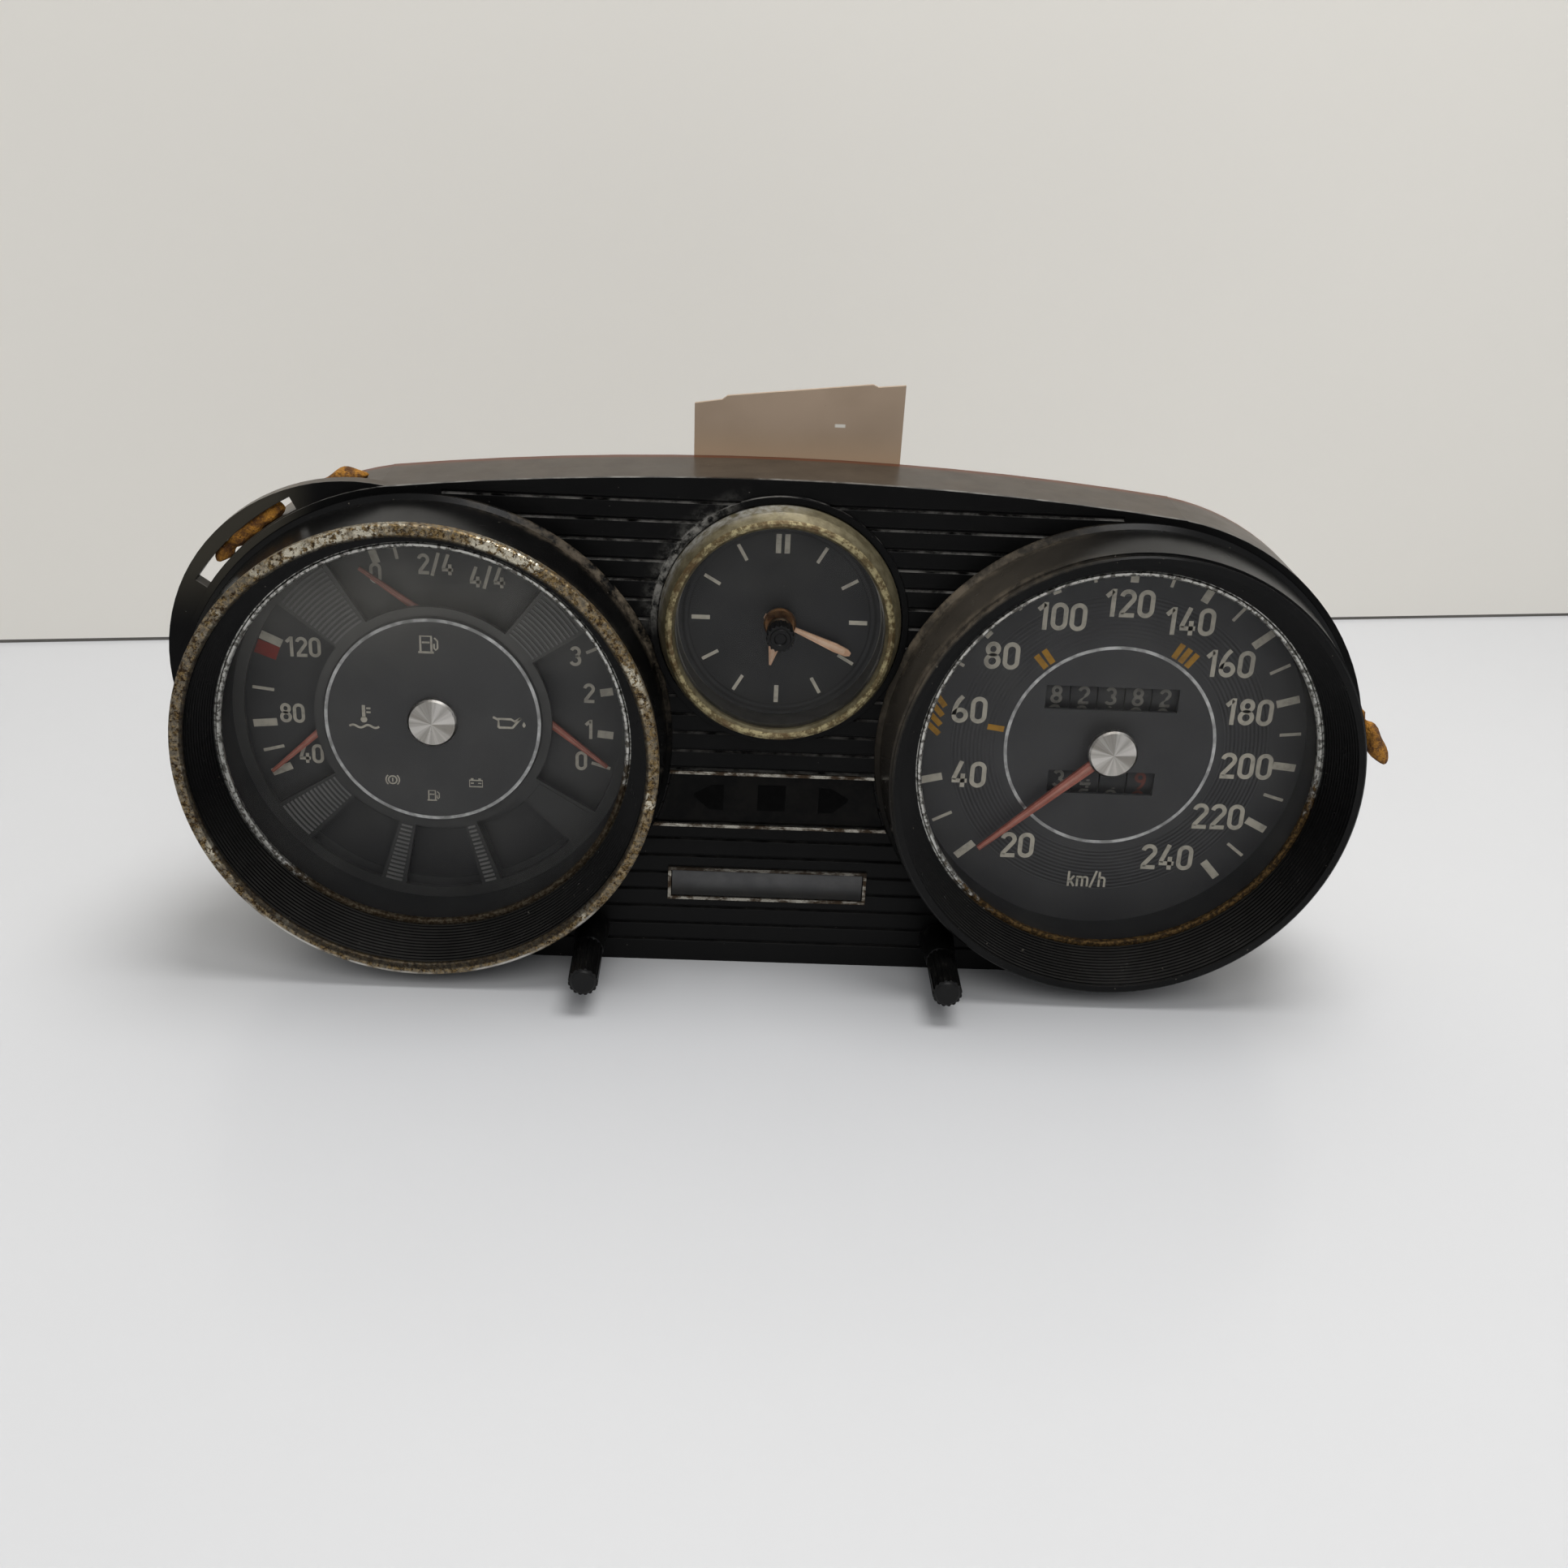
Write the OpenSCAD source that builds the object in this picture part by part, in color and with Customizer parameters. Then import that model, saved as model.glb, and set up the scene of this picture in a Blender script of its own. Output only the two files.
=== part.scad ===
// Vintage instrument cluster with speedometer, clock and combined gauge.
// Units are millimetres. X is to the right, Y goes back into the dashboard, Z is up.
// Y = 0 is the front of the gauge mask, Z = 0 is the flat underside of the shell.

/* [Shell] */
// Distance between the two rounded ends
middle_w = 47; // [46:0.5:50]
// Radius of the rounded ends
shell_r = 61.5; // [61:0.1:62.5]
// Radius of the crowned top edge
crown_r = 800; // [700:10:900]
// Wall thickness of the shell
wall = 2.2; // [1.8:0.1:2.6]
// Front face of the panel
panel_y = -8; // [-8.4:0.1:-7.8]
// Thickness of the panel
panel_t = 2.5; // [2.2:0.1:2.8]
// Rear edge of the shell
shell_back_y = 15; // [14.4:0.1:16]
// Distance between the grooves of the panel
rib_pitch = 4.83; // [4.4:0.01:5.4]
// Width of one groove
rib_w = 1; // [0.6:0.1:1.4]
// Depth of one groove
rib_d = 0.8; // [0.4:0.1:1.1]
// Distance of the first groove below the top of the rounded ends
rib_inset = 1; // [0.6:0.1:3]
// Reach of the ear at the upper left beyond the shell
ear_reach = 6.9; // [6.4:0.1:7.6]
// Offset of the ear centre from the left axis, to the left and up
ear_off = 16.2; // [15.8:0.1:16.8]
// Thickness of the ear
ear_t = 4; // [3:0.1:5]
// Radial width of the slot in the ear
slot_w = 3.2; // [2:0.1:3.4]
// Start of the ear slot, degrees from the right
slot_a0 = 118; // [112:1:124]
// End of the ear slot
slot_a1 = 146; // [140:1:152]

/* [Barrels] */
// Distance between the foot of a barrel and the edge of the shell
foot_inset = 1.5; // [0.8:0.1:2]
// Width of the flared foot of a barrel
foot_flare = 1.3; // [0.8:0.1:1.6]
// Narrowing of a barrel between its foot and its rim
barrel_taper = 1.2; // [0.6:0.1:1.6]
// Step down from the barrel to the rim seat
lip_step = 0.5; // [0.4:0.05:0.8]
// Radial width of the rim seat
lip_t = 2; // [1.6:0.1:2.4]
// Narrowing of the stepped throat
throat_taper = 4.8; // [4.2:0.1:5]
// Front face of a barrel
mouth_y = -26.45; // [-27.4:0.05:-25.6]
// Inner end of the stepped throat
throat_y = -14.2; // [-14.5:0.1:-13.9]
// Number of steps in the throat
steps = 13; // [8:1:18]
// Length of the rim seat
lip_len = 1.9; // [1.5:0.1:2.4]
// Thickness of the bright rim
rim_t = 0.5; // [0.4:0.05:0.6]

/* [Cans and glasses] */
// Outward step from the throat to a can
can_ledge = 2; // [1.8:0.05:2.2]
// Wall of a can
can_wall = 0.8; // [0.6:0.05:1]
// Radial gap between a can and what surrounds it
can_gap = 0.4; // [0.3:0.05:0.5]
// Radial gap between a can and what it holds
stack_gap = 0.3; // [0.2:0.05:0.4]
// Rear face of the gauge can
gauge_can_y = 34; // [32:0.5:38]
// Rear face of the speedometer can
speedo_can_y = 38; // [37.5:0.5:42]
// Inward step from the throat to the glass ring
ring_ledge = 1.5; // [1.2:0.1:2]
// Thickness of the glass ring
ring_t = 1; // [0.8:0.1:1.2]
// Thickness of the big glasses
glass_t = 1.8; // [1.6:0.1:2]
// Radial width of the dial spacers
spacer_w = 1.5; // [1.2:0.1:1.8]

/* [Combined gauge] */
// Thickness of the gauge mask
mask_t = 1.5; // [1.2:0.1:1.7]
// Depth of the scale behind the mask front
face_y = 4.2; // [4:0.1:4.8]
// Thickness of the scale plate
face_t = 1; // [0.8:0.1:1.4]
// Distance between the centre disc and the mask windows
centre_step = 2.3; // [1.5:0.1:3]
// Distance between the mask windows and the edge of the mask
window_margin = 4.3; // [3.8:0.1:5]
// Radius of the printed centre disc
centre_r = 27.2; // [26.8:0.1:28]
// Thickness of the printed centre disc
centre_t = 0.8; // [0.6:0.1:1]
// Radius of the turned hub caps
cap_r = 6.2; // [5.8:0.1:6.6]
// Height of the gauge hub cap
cap_h = 2.4; // [2:0.1:2.8]
// How much the fuel needle is shorter than the windows' outer radius
fuel_cut = 22; // [21.8:0.1:23]
// How much the temperature needle is shorter than the windows' outer radius
temp_cut = 22.4; // [22.2:0.1:23.4]
// How much the oil needle is shorter than the windows' outer radius
oil_cut = 22.4; // [22.2:0.1:23.4]
// Radius of the needle staffs
staff_r = 0.7; // [0.6:0.05:0.8]
// Radial play of the turning staffs
play = 0.05; // [0.03:0.01:0.08]
// Radius of the oil line thread
oil_thread_r = 5; // [4.8:0.1:5.4]
// Length of the oil line thread
oil_thread_len = 9.5; // [8:0.5:12]
// Thickness of the gauge needles
needle_t = 0.8; // [0.6:0.05:1]

/* [Speedometer] */
// Front of the speed dial
dial_y = -1.5; // [-1.7:0.1:-1.3]
// Thickness of the speed dial
dial_t = 1; // [0.8:0.1:1.1]
// Distance between the tip of the speed needle and the glass ring
speed_margin = 6.7; // [5.5:0.1:8.5]
// Height of the speed hub cap
speed_cap_h = 2.6; // [2.2:0.1:2.8]
// Gap between the speed needle and the dial
speed_lift = 2.4; // [2:0.1:2.8]
// Radius of the counter drums
drum_r = 8.4; // [8.2:0.05:8.5]
// Height of the distance counter above the axis
odo_up = 12.9; // [12.6:0.1:13.6]
// Depth of the trip counter below the axis
trip_down = 9.9; // [9.8:0.1:10.6]
// Distance between the drums of the distance counter
odo_pitch = 6.85; // [6.7:0.05:7]
// Distance between the drums of the trip counter
trip_pitch = 7; // [6.8:0.05:7.1]
// Gap between two drums
drum_gap = 0.35; // [0.3:0.05:0.5]
// Radius of the counter axles
axle_r = 1; // [0.9:0.05:1.2]
// Radius of the speed cup
cup_r = 16; // [15:0.1:17]
// Radius of the magnet
magnet_r = 14; // [13:0.1:14.2]
// Radius of the drive shaft
drive_r = 4; // [3.6:0.1:4.4]
// Radius of the cable thread
thread_r = 9; // [8.8:0.1:9.4]
// Length of the cable thread
thread_len = 13.5; // [12:0.5:16]

/* [Clock] */
// Distance of the clock below the top of the rounded ends
clock_inset = 29.7; // [29:0.1:30.5]
// Width of the clock bezel's foot around the clock case
bezel_foot_w = 3.6; // [3.2:0.1:3.7]
// Width of the bezel's front around the clock case
bezel_w = 2; // [1.6:0.1:2.3]
// Overlap of the bezel over the clock glass
bezel_lap = 0.5; // [0.4:0.05:0.8]
// Front of the bezel
bezel_y = -16.4; // [-17:0.1:-16.2]
// Outer radius of the clock case
case_r = 25.5; // [25.3:0.05:25.6]
// Rear of the clock case
case_y = 11.5; // [10:0.5:12]
// Front of the clock dial
clock_dial_y = -6.2; // [-6.4:0.1:-6]
// Length of the minute hand
minute_len = 18.9; // [18:0.1:20]
// Length of the hour hand
hour_len = 11.3; // [10.8:0.1:12.6]
// Direction of the minute hand at rest, degrees from the top
minute_at = 113; // [100:1:126]
// Radius of the setting knob
set_r = 3.3; // [3.1:0.1:3.6]
// Length of the setting knob
set_len = 4.3; // [3.8:0.1:5]
// Gap between the setting knob and its bush
set_gap = 1.6; // [1.2:0.1:1.8]

/* [Centre panel] */
// Upper edge of the indicator lens below the axes
lens_top = 8.6; // [8.2:0.1:9.2]
// Lower edge of the indicator lens below the axes
lens_bottom = 22; // [21:0.1:22.4]
// Half width of the indicator lens
lens_half = 31; // [29:0.5:33]
// Half width of the lower window
info_half = 24.4; // [23:0.1:25.5]
// Upper edge of the lower window below the axes
info_top = 35.3; // [34.8:0.1:36]
// Lower edge of the lower window below the axes
info_bottom = 42.5; // [42:0.1:43.4]
// Width of the bright trims
trim_w = 0.8; // [0.6:0.1:1.2]
// Height of the bright trims over the panel
trim_h = 0.7; // [0.5:0.1:1]
// Distance of the lower knobs from the middle
knob_x = 44.5; // [44:0.1:46]
// Height of the lower knobs above the underside
knob_up = 9.52; // [9.2:0.02:10]
// Radius of the lower knobs at their front
knob_r = 3.65; // [3.4:0.05:3.8]
// Radius of the lower knobs at the panel
sleeve_r = 4.4; // [4.1:0.1:4.7]
// Front end of the lower knobs
knob_y = -38; // [-40:0.5:-34]
// Radius of the lower knob shafts
shaft_r = 2; // [1.8:0.1:2.2]

/* [Rear] */
// Thickness of the back plate
plate_t = 2.2; // [2:0.1:2.6]
// Gap around the back plate
plate_gap = 0.2; // [0.1:0.05:0.3]
// Radius of the screw bosses
boss_r = 2.8; // [2.7:0.05:2.9]
// Radius of the plate screws
screw_r = 1.3; // [1.1:0.05:1.5]
// Radius of the bracket stud
stud_r = 3; // [2.8:0.1:3.2]
// Distance of the stud below the top of the rounded ends
stud_inset = 16.5; // [15.5:0.5:17.5]
// Half width of the bracket
bracket_half = 25; // [24:0.1:26]
// Height of the bracket above the top of the rounded ends
bracket_up = 23.5; // [22:0.1:25]
// Sideways offset of the bracket
bracket_x = 3; // [2:0.1:4]
// Thickness of the bracket
bracket_t = 1.2; // [1:0.1:1.6]
// Downward travel of the bracket
bracket_drop = 14; // [10:0.5:15]
// Radius of the knurled nut
nut_r = 8; // [7:0.1:9]
// Length of the knurled nut
nut_len = 6; // [5:0.5:8]
// Distance of the wiring socket below the axes
socket_down = 38; // [36:0.5:40]
// Width of the wiring socket
socket_w = 32; // [30:0.5:36]
// Height of the wiring socket
socket_h = 12; // [11:0.5:13]
// Length of the wiring socket
socket_len = 11; // [10:0.5:14]
// Number of contact pins on each side of the middle one
side_pins = 3; // [1:1:3]
// Radius of the lamp holders
lamp_r = 6.5; // [6:0.1:7]
// Gap between sliding faces
slide_gap = 0.15; // [0.1:0.05:0.2]

/* [Hidden] */
$fn = 96;
bx = shell_r + middle_w / 2;
join_step = 0.02;
axis_z = shell_r + join_step;
bezel_foot_r = case_r + bezel_foot_w;
bezel_r = case_r + bezel_w;
clock_mouth_r = case_r - bezel_lap;
crown_h = crown_r - sqrt(pow(crown_r - shell_r, 2) - bx * bx);
rib_top = shell_r - rib_inset;
ear_r = shell_r + ear_reach - sqrt(2) * ear_off;
barrel_foot_r = shell_r - foot_inset;
barrel_base_r = barrel_foot_r - foot_flare;
barrel_top_r = barrel_base_r - barrel_taper;
lip_r = barrel_top_r - lip_step;
mouth_r = lip_r - lip_t;
throat_r = mouth_r - throat_taper;
can_r = throat_r + can_ledge;
ring_r = throat_r - ring_ledge;
panel_back = panel_y + panel_t;
glass_y = throat_y + ring_t;
glass_back = glass_y + glass_t;
can_in = can_r - can_wall;
stack_r = can_in - stack_gap;
window_r0 = centre_r + centre_step;
window_r1 = stack_r - window_margin;
fuel_len = window_r1 - fuel_cut;
temp_len = window_r1 - temp_cut;
oil_len = window_r1 - oil_cut;
speed_len = ring_r - speed_margin;
face_back = face_y + face_t;
dial_back = dial_y + dial_t;
plate_y = shell_back_y - plate_t;
divider_t = 1.2;
needle_gap = 0.6;
needle_y = mask_t + needle_gap;
speed_needle_t = 1;
speed_staff_r = 0.8;
speed_at = -131.9;
speed_y = dial_y - speed_lift - speed_needle_t;
drum_behind = 0.8;
drum_y = dial_back + drum_behind + drum_r;
window_h = 6.2;
odo_x = -0.9;
trip_x = -1.2;
frame_y = drum_y + drum_r + 1.9;
frame_t = 2;
cheek_t = 1.8;
cheek_h = 44;
cheek_gap = 1.4;
cheek_l = odo_x - 2.5 * odo_pitch - cheek_gap - cheek_t;
cheek_r = odo_x + 2.5 * odo_pitch + cheek_gap;
front_pillars = [[-31, -24], [29, -24], [-31, 24], [29, 24]];
rear_pillars = [[-26, -22], [24, -22], [-26, 22], [24, 22]];
cup_t = 0.8;
cup_len = 7.5;
cup_y = frame_y + frame_t + 4;
magnet_t = 4;
magnet_y = cup_y + 2;
bush_collar = 2.5;
thread_y = speedo_can_y + bush_collar;
thread_end = thread_y + thread_len;
recess_len = 4;
square_w = 3.3;
clock_z = axis_z + shell_r - clock_inset;
clock_dial_t = 0.8;
clock_glass_t = 1.6;
clock_glass_y = clock_dial_y - 7.6;
case_wall = 0.8;
hand_t = 0.6;
hand_step = 1;
hand_y = clock_dial_y - 1.4;
post_r = 1;
set_shaft_r = 1.2;
bush_flange = 0.8;
bush_r = 3.1;
knob_z = knob_up;
stud_up = shell_r - stud_inset;
bracket_top = shell_r + bracket_up;
knob_boss_r = 4.2;
knob_boss_len = 6.5;
lens_sink = 0.5;
window_gap = 0.15;
flange_t = 1;
lamp_neck_r = lamp_r - 1.5;
lamp_hole_r = lamp_neck_r + 0.2;
can_back_t = 1;
movement_r = 9.5;
movement_len = 9;
movement_neck_r = 6;
movement_end = face_back + movement_len + 5;
oil_hex_r = 7.5;
oil_hex_len = 5;
socket_wall = 1.5;
pin_pitch = 4;
pin_t = 0.8;
fuel_at = [3, 23.6, -54.7];
temp_at = [-23.5, -0.1, 227.6];
oil_at = [24.1, 3, 128.4];
boss_h = shell_r - 6.5;
plate_bosses = [[-36, boss_h], [36, boss_h], [-22, -boss_h], [22, -boss_h]];
rim_boss_r = shell_r - wall - 2.6;
end_bosses = [25, -35];
plate_lamps = [[-16, -12], [16, -12]];
gauge_lamps = [[-22, 27], [-6, -32]];
speedo_lamps = [[37, 9], [-37, -9]];
fuel_pins = [[-2.5, 23.6], [8.5, 23.6]];
temp_pins = [[-29, 0], [-18, 0]];
spokes = [[318, 10], [47.5, 9.5], [127, 6.5], [163, 3.2], [194.5, 4], [231, 7.5]];

// Turns a profile of [radius, depth] points about the Y axis.
module spin(points) {
    rotate([-90, 0, 0]) rotate_extrude() polygon(points);
}

// Cylinder along Y from y0 to y1.
module rod(r, y0, y1) {
    translate([0, y0, 0]) rotate([-90, 0, 0]) cylinder(r = r, h = y1 - y0);
}

// Flat shape drawn in X and Z, from y0 to y1.
module slab(y0, y1) {
    translate([0, y1, 0]) rotate([90, 0, 0]) linear_extrude(height = y1 - y0) children();
}

// Box from y0 to y1 around a point of the XZ plane.
module block(w, h, y0, y1) {
    translate([-w / 2, y0, -h / 2]) cube([w, y1 - y0, h]);
}

module at_left() {
    translate([-bx, 0, axis_z]) children();
}

module at_right() {
    translate([bx, 0, axis_z]) children();
}

module at_clock() {
    translate([0, 0, clock_z]) children();
}

// Part of a ring between two angles counted from the right.
module ring_sector(r0, r1, a0, a1) {
    am = (a0 + a1) / 2;
    far = 1.6 * r1;
    intersection() {
        difference() {
            circle(r = r1);
            circle(r = r0);
        }
        polygon([[0, 0], [far * cos(a0), far * sin(a0)], [far * cos(am), far * sin(am)],
            [far * cos(a1), far * sin(a1)]]);
    }
}

// Outline of the shell, smaller by cut on all sides.
module outline(cut) {
    join_x = bx * (crown_r - cut) / (crown_r - shell_r) + 3;
    foot_x = bx + 2;
    for (s = [-1, 1]) {
        translate([s * bx, axis_z]) circle(r = shell_r - cut);
    }
    intersection() {
        translate([0, axis_z + crown_h + join_step - crown_r]) circle(r = crown_r - cut, $fn = 720);
        union() {
            translate([-foot_x, cut]) square([2 * foot_x, axis_z + crown_h]);
            translate([-join_x, axis_z]) square([2 * join_x, crown_h + 10]);
        }
    }
}

// Places of the screws that hold the back plate.
module each_screw() {
    for (p = plate_bosses) {
        translate([p[0], 0, axis_z + p[1]]) children();
    }
    for (s = [-1, 1]) {
        for (a = end_bosses) {
            translate([s * (bx + rim_boss_r * cos(a)), 0, axis_z + rim_boss_r * sin(a)]) children();
        }
    }
}

module each_knob() {
    for (s = [-1, 1]) {
        translate([s * knob_x, 0, knob_z]) children();
    }
}

module lens_shape(grow) {
    difference() {
        translate([-lens_half - grow, axis_z - lens_bottom - grow])
            square([2 * lens_half + 2 * grow, lens_bottom - lens_top + 2 * grow]);
        for (s = [-1, 1]) {
            translate([s * bx, axis_z]) circle(r = barrel_foot_r + 0.4 - grow);
        }
    }
}

module info_shape(grow) {
    translate([-info_half - grow, axis_z - info_bottom - grow])
        square([2 * info_half + 2 * grow, info_bottom - info_top + 2 * grow]);
}

module ribs() {
    count = floor((rib_top + axis_z - 3) / rib_pitch);
    for (i = [0 : count]) {
        translate([0, panel_y, axis_z + rib_top - i * rib_pitch])
            rotate([0, 90, 0])
            linear_extrude(height = 160, center = true)
            polygon([[-rib_w / 2, -1], [rib_w / 2, -1], [rib_w / 2, 0], [0.15, rib_d], [-0.15, rib_d],
                [-rib_w / 2, 0]]);
    }
}

module ear() {
    slab(panel_y + 1, panel_y + 1 + ear_t)
        difference() {
            translate([-bx - ear_off, axis_z + ear_off]) circle(r = ear_r);
            outline(wall / 2);
            translate([-bx, axis_z])
                ring_sector(shell_r + 0.3, shell_r + 0.3 + slot_w, slot_a0, slot_a1);
        }
}

module housing() {
    color([0.05, 0.05, 0.05])
    difference() {
        union() {
            difference() {
                slab(panel_y, shell_back_y) outline(0);
                slab(panel_back, shell_back_y + 1) outline(wall);
            }
            ear();
            at_clock() rod(bezel_foot_r + 1.9, panel_y - 1.2, panel_back);
            intersection() {
                each_screw() rod(boss_r, panel_back - 1, plate_y);
                slab(panel_back - 1, plate_y) outline(wall / 2);
            }
            each_knob() rod(knob_boss_r, panel_back - 1, panel_back + knob_boss_len);
        }
        ribs();
        for (s = [-1, 1]) {
            translate([s * bx, 0, axis_z]) rod(can_r + can_gap + 0.4, panel_y - 5, panel_back + 1.2);
        }
        at_clock() rod(bezel_foot_r + 0.3, panel_y - 5, panel_y);
        at_clock() rod(case_r + can_gap, panel_y - 5, panel_back + 1);
        slab(panel_y - 5, panel_back + 1) lens_shape(0);
        slab(panel_y - 5, panel_back + 1) info_shape(0);
        each_knob() rod(shaft_r + play, panel_y - 1, panel_back + 8);
        each_screw() rod(screw_r + 0.1, plate_y - 9, plate_y + 1);
    }
}

module back_plate() {
    color([0.09, 0.09, 0.09])
    difference() {
        slab(plate_y, shell_back_y) outline(wall + plate_gap);
        for (s = [-1, 1]) {
            translate([s * bx, 0, axis_z]) rod(can_r + can_gap, plate_y - 1, shell_back_y + 1);
        }
        each_screw() rod(screw_r + 0.3, plate_y - 1, shell_back_y + 1);
        for (p = plate_lamps) {
            translate([p[0], 0, axis_z + p[1]]) rod(lamp_hole_r, plate_y - 1, shell_back_y + 1);
        }
        translate([bracket_x, 0, axis_z + stud_up]) rod(stud_r, plate_y - 1, shell_back_y + 1);
        translate([0, 0, axis_z - socket_down])
            block(socket_w - 2, socket_h - 2, plate_y - 1, shell_back_y + 1);
    }
}

module plate_screws() {
    color([0.55, 0.55, 0.53])
    each_screw() difference() {
        union() {
            rod(screw_r, plate_y - 7, shell_back_y);
            spin([[0, shell_back_y], [2.5 * screw_r - 0.5, shell_back_y],
                [2.3 * screw_r - 0.5, shell_back_y + 1.2], [1.2 * screw_r, shell_back_y + 1.7],
                [0, shell_back_y + 1.8]]);
        }
        translate([0, shell_back_y + 1.4, 0]) cube([8, 1.2, 0.7], center = true);
    }
}

module barrel() {
    dy = (throat_y - mouth_y - 0.8) / steps;
    dr = (mouth_r - 0.4 - throat_r) / (steps - 1);
    stair = [for (i = [0 : steps - 1], k = [0, 1])
        [mouth_r - 0.4 - i * dr, mouth_y + 0.8 + (i + k) * dy]];
    spin(concat([[barrel_foot_r, panel_y], [barrel_foot_r - 0.2, panel_y - 0.5],
        [barrel_base_r, panel_y - 1.6], [barrel_top_r, mouth_y + lip_len], [lip_r, mouth_y + lip_len],
        [lip_r, mouth_y + 0.4], [lip_r - 0.4, mouth_y], [mouth_r, mouth_y], [mouth_r, mouth_y + 0.8]], stair,
        [[can_r + can_gap, throat_y], [can_r + can_gap, panel_y]]));
}

module left_barrel() {
    color([0.06, 0.06, 0.06]) at_left() barrel();
}

module right_barrel() {
    color([0.06, 0.06, 0.06]) at_right() barrel();
}

module left_rim() {
    outer = lip_r + rim_t + 0.05;
    inner = mouth_r - rim_t - 0.05;
    front = mouth_y - rim_t;
    color([0.7, 0.66, 0.55]) at_left()
    spin([[outer, mouth_y + lip_len - 0.1], [outer, front + 0.35], [outer - 0.35, front],
        [inner + 0.35, front], [inner, front + 0.35], [inner, mouth_y + 0.7], [mouth_r - 0.05, mouth_y + 0.7],
        [mouth_r - 0.05, mouth_y], [lip_r - 0.35, mouth_y], [lip_r + 0.05, mouth_y + 0.45],
        [lip_r + 0.05, mouth_y + lip_len - 0.1]]);
}

module glass_ring() {
    bead = throat_r - 0.3;
    spin([[ring_r, glass_y], [ring_r, throat_y - 0.1], [ring_r + 0.35, throat_y - 0.5],
        [bead - 0.3, throat_y - 0.5], [bead, throat_y - 0.2], [bead, throat_y], [stack_r + 0.6, throat_y],
        [stack_r + 0.6, glass_y]]);
}

module left_glass_ring() {
    color([0.8, 0.79, 0.75]) at_left() glass_ring();
}

module right_glass_ring() {
    color([0.8, 0.79, 0.75]) at_right() glass_ring();
}

module left_glass() {
    color([0.8, 0.85, 0.85, 0.3]) at_left() rod(stack_r + 0.5, glass_y, glass_back);
}

module right_glass() {
    color([0.8, 0.85, 0.85, 0.3]) at_right() rod(stack_r + 0.5, glass_y, glass_back);
}

module spacer(y1) {
    spin([[stack_r - spacer_w, glass_back], [stack_r, glass_back], [stack_r, y1], [stack_r - spacer_w, y1]]);
}

module left_spacer() {
    color([0.07, 0.07, 0.07]) at_left() spacer(0);
}

module right_spacer() {
    color([0.07, 0.07, 0.07]) at_right() spacer(dial_y);
}

module can(back, ledge) {
    front = glass_back + 0.6;
    spin([[can_r, front], [can_in, front], [can_in, ledge], [can_in - 1.6, ledge],
        [can_in - 1.6, ledge + 0.8], [can_in, ledge + 1.4], [can_in, back - can_back_t - 0.8],
        [can_in - 0.8, back - can_back_t],
        [0, back - can_back_t], [0, back], [can_r - 1.6, back], [can_r, back - 1.6],
        [can_r, panel_back + 1], [can_r + 1.5, panel_back + 1],
        [can_r + 1.5, panel_back + 0.2], [can_r, panel_back + 0.2]]);
}

module gauge_can() {
    color([0.62, 0.62, 0.6]) at_left()
    difference() {
        can(gauge_can_y, face_back);
        for (p = gauge_lamps) {
            translate([p[0], 0, p[1]]) rod(lamp_hole_r, gauge_can_y - 3, gauge_can_y + 1);
        }
        translate([oil_at[0], 0, oil_at[1]]) rod(oil_thread_r - 0.4, gauge_can_y - 3, gauge_can_y + 1);
    }
}

module speedo_can() {
    color([0.62, 0.62, 0.6]) at_right()
    difference() {
        can(speedo_can_y, dial_back);
        for (p = speedo_lamps) {
            translate([p[0], 0, p[1]]) rod(lamp_hole_r, speedo_can_y - 3, speedo_can_y + 1);
        }
        rod(thread_r - 0.9, speedo_can_y - 3, speedo_can_y + 1);
    }
}

// Window of the mask between two spokes, angles counted clockwise from the top.
module mask_window(from, to) {
    slab(-1, mask_t + 1) ring_sector(window_r0, window_r1, 90 - to, 90 - from);
}

module gauge_mask() {
    color([0.16, 0.16, 0.17]) at_left()
    difference() {
        union() {
            spin([[0, 0], [stack_r, 0], [stack_r, face_y], [stack_r - 1.5, face_y], [stack_r - 1.5, mask_t],
                [0, mask_t]]);
            for (s = [2, 3, 4, 5]) {
                rotate([0, spokes[s][0], 0])
                    translate([-divider_t / 2, mask_t / 2, window_r0 + 2])
                    cube([divider_t, face_y - mask_t / 2 - 0.1, stack_r - window_r0 - 2.6]);
            }
        }
        mask_window(spokes[0][0] + spokes[0][1] - 360, spokes[1][0] - spokes[1][1]);
        mask_window(spokes[1][0] + spokes[1][1], spokes[2][0] - spokes[2][1]);
        mask_window(spokes[2][0] + spokes[2][1], spokes[3][0] - spokes[3][1]);
        mask_window(spokes[3][0] + spokes[3][1], spokes[4][0] - spokes[4][1]);
        mask_window(spokes[4][0] + spokes[4][1], spokes[5][0] - spokes[5][1]);
        mask_window(spokes[5][0] + spokes[5][1], spokes[0][0] - spokes[0][1]);
    }
}

module gauge_centre() {
    color([0.15, 0.15, 0.16]) at_left()
    spin([[0, -centre_t], [centre_r - 0.4, -centre_t], [centre_r, -centre_t + 0.4], [centre_r, 0], [0, 0]]);
}

// Shallow turned cone with its back at depth y.
module cap(y, h) {
    spin([[0, y - h], [0.6, y - h + 0.05], [cap_r - 0.5, y - h + 0.7], [cap_r, y - h + 1.1], [cap_r, y],
        [0, y]]);
}

module gauge_cap() {
    color([0.85, 0.84, 0.81]) at_left() cap(-centre_t, cap_h);
}

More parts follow.
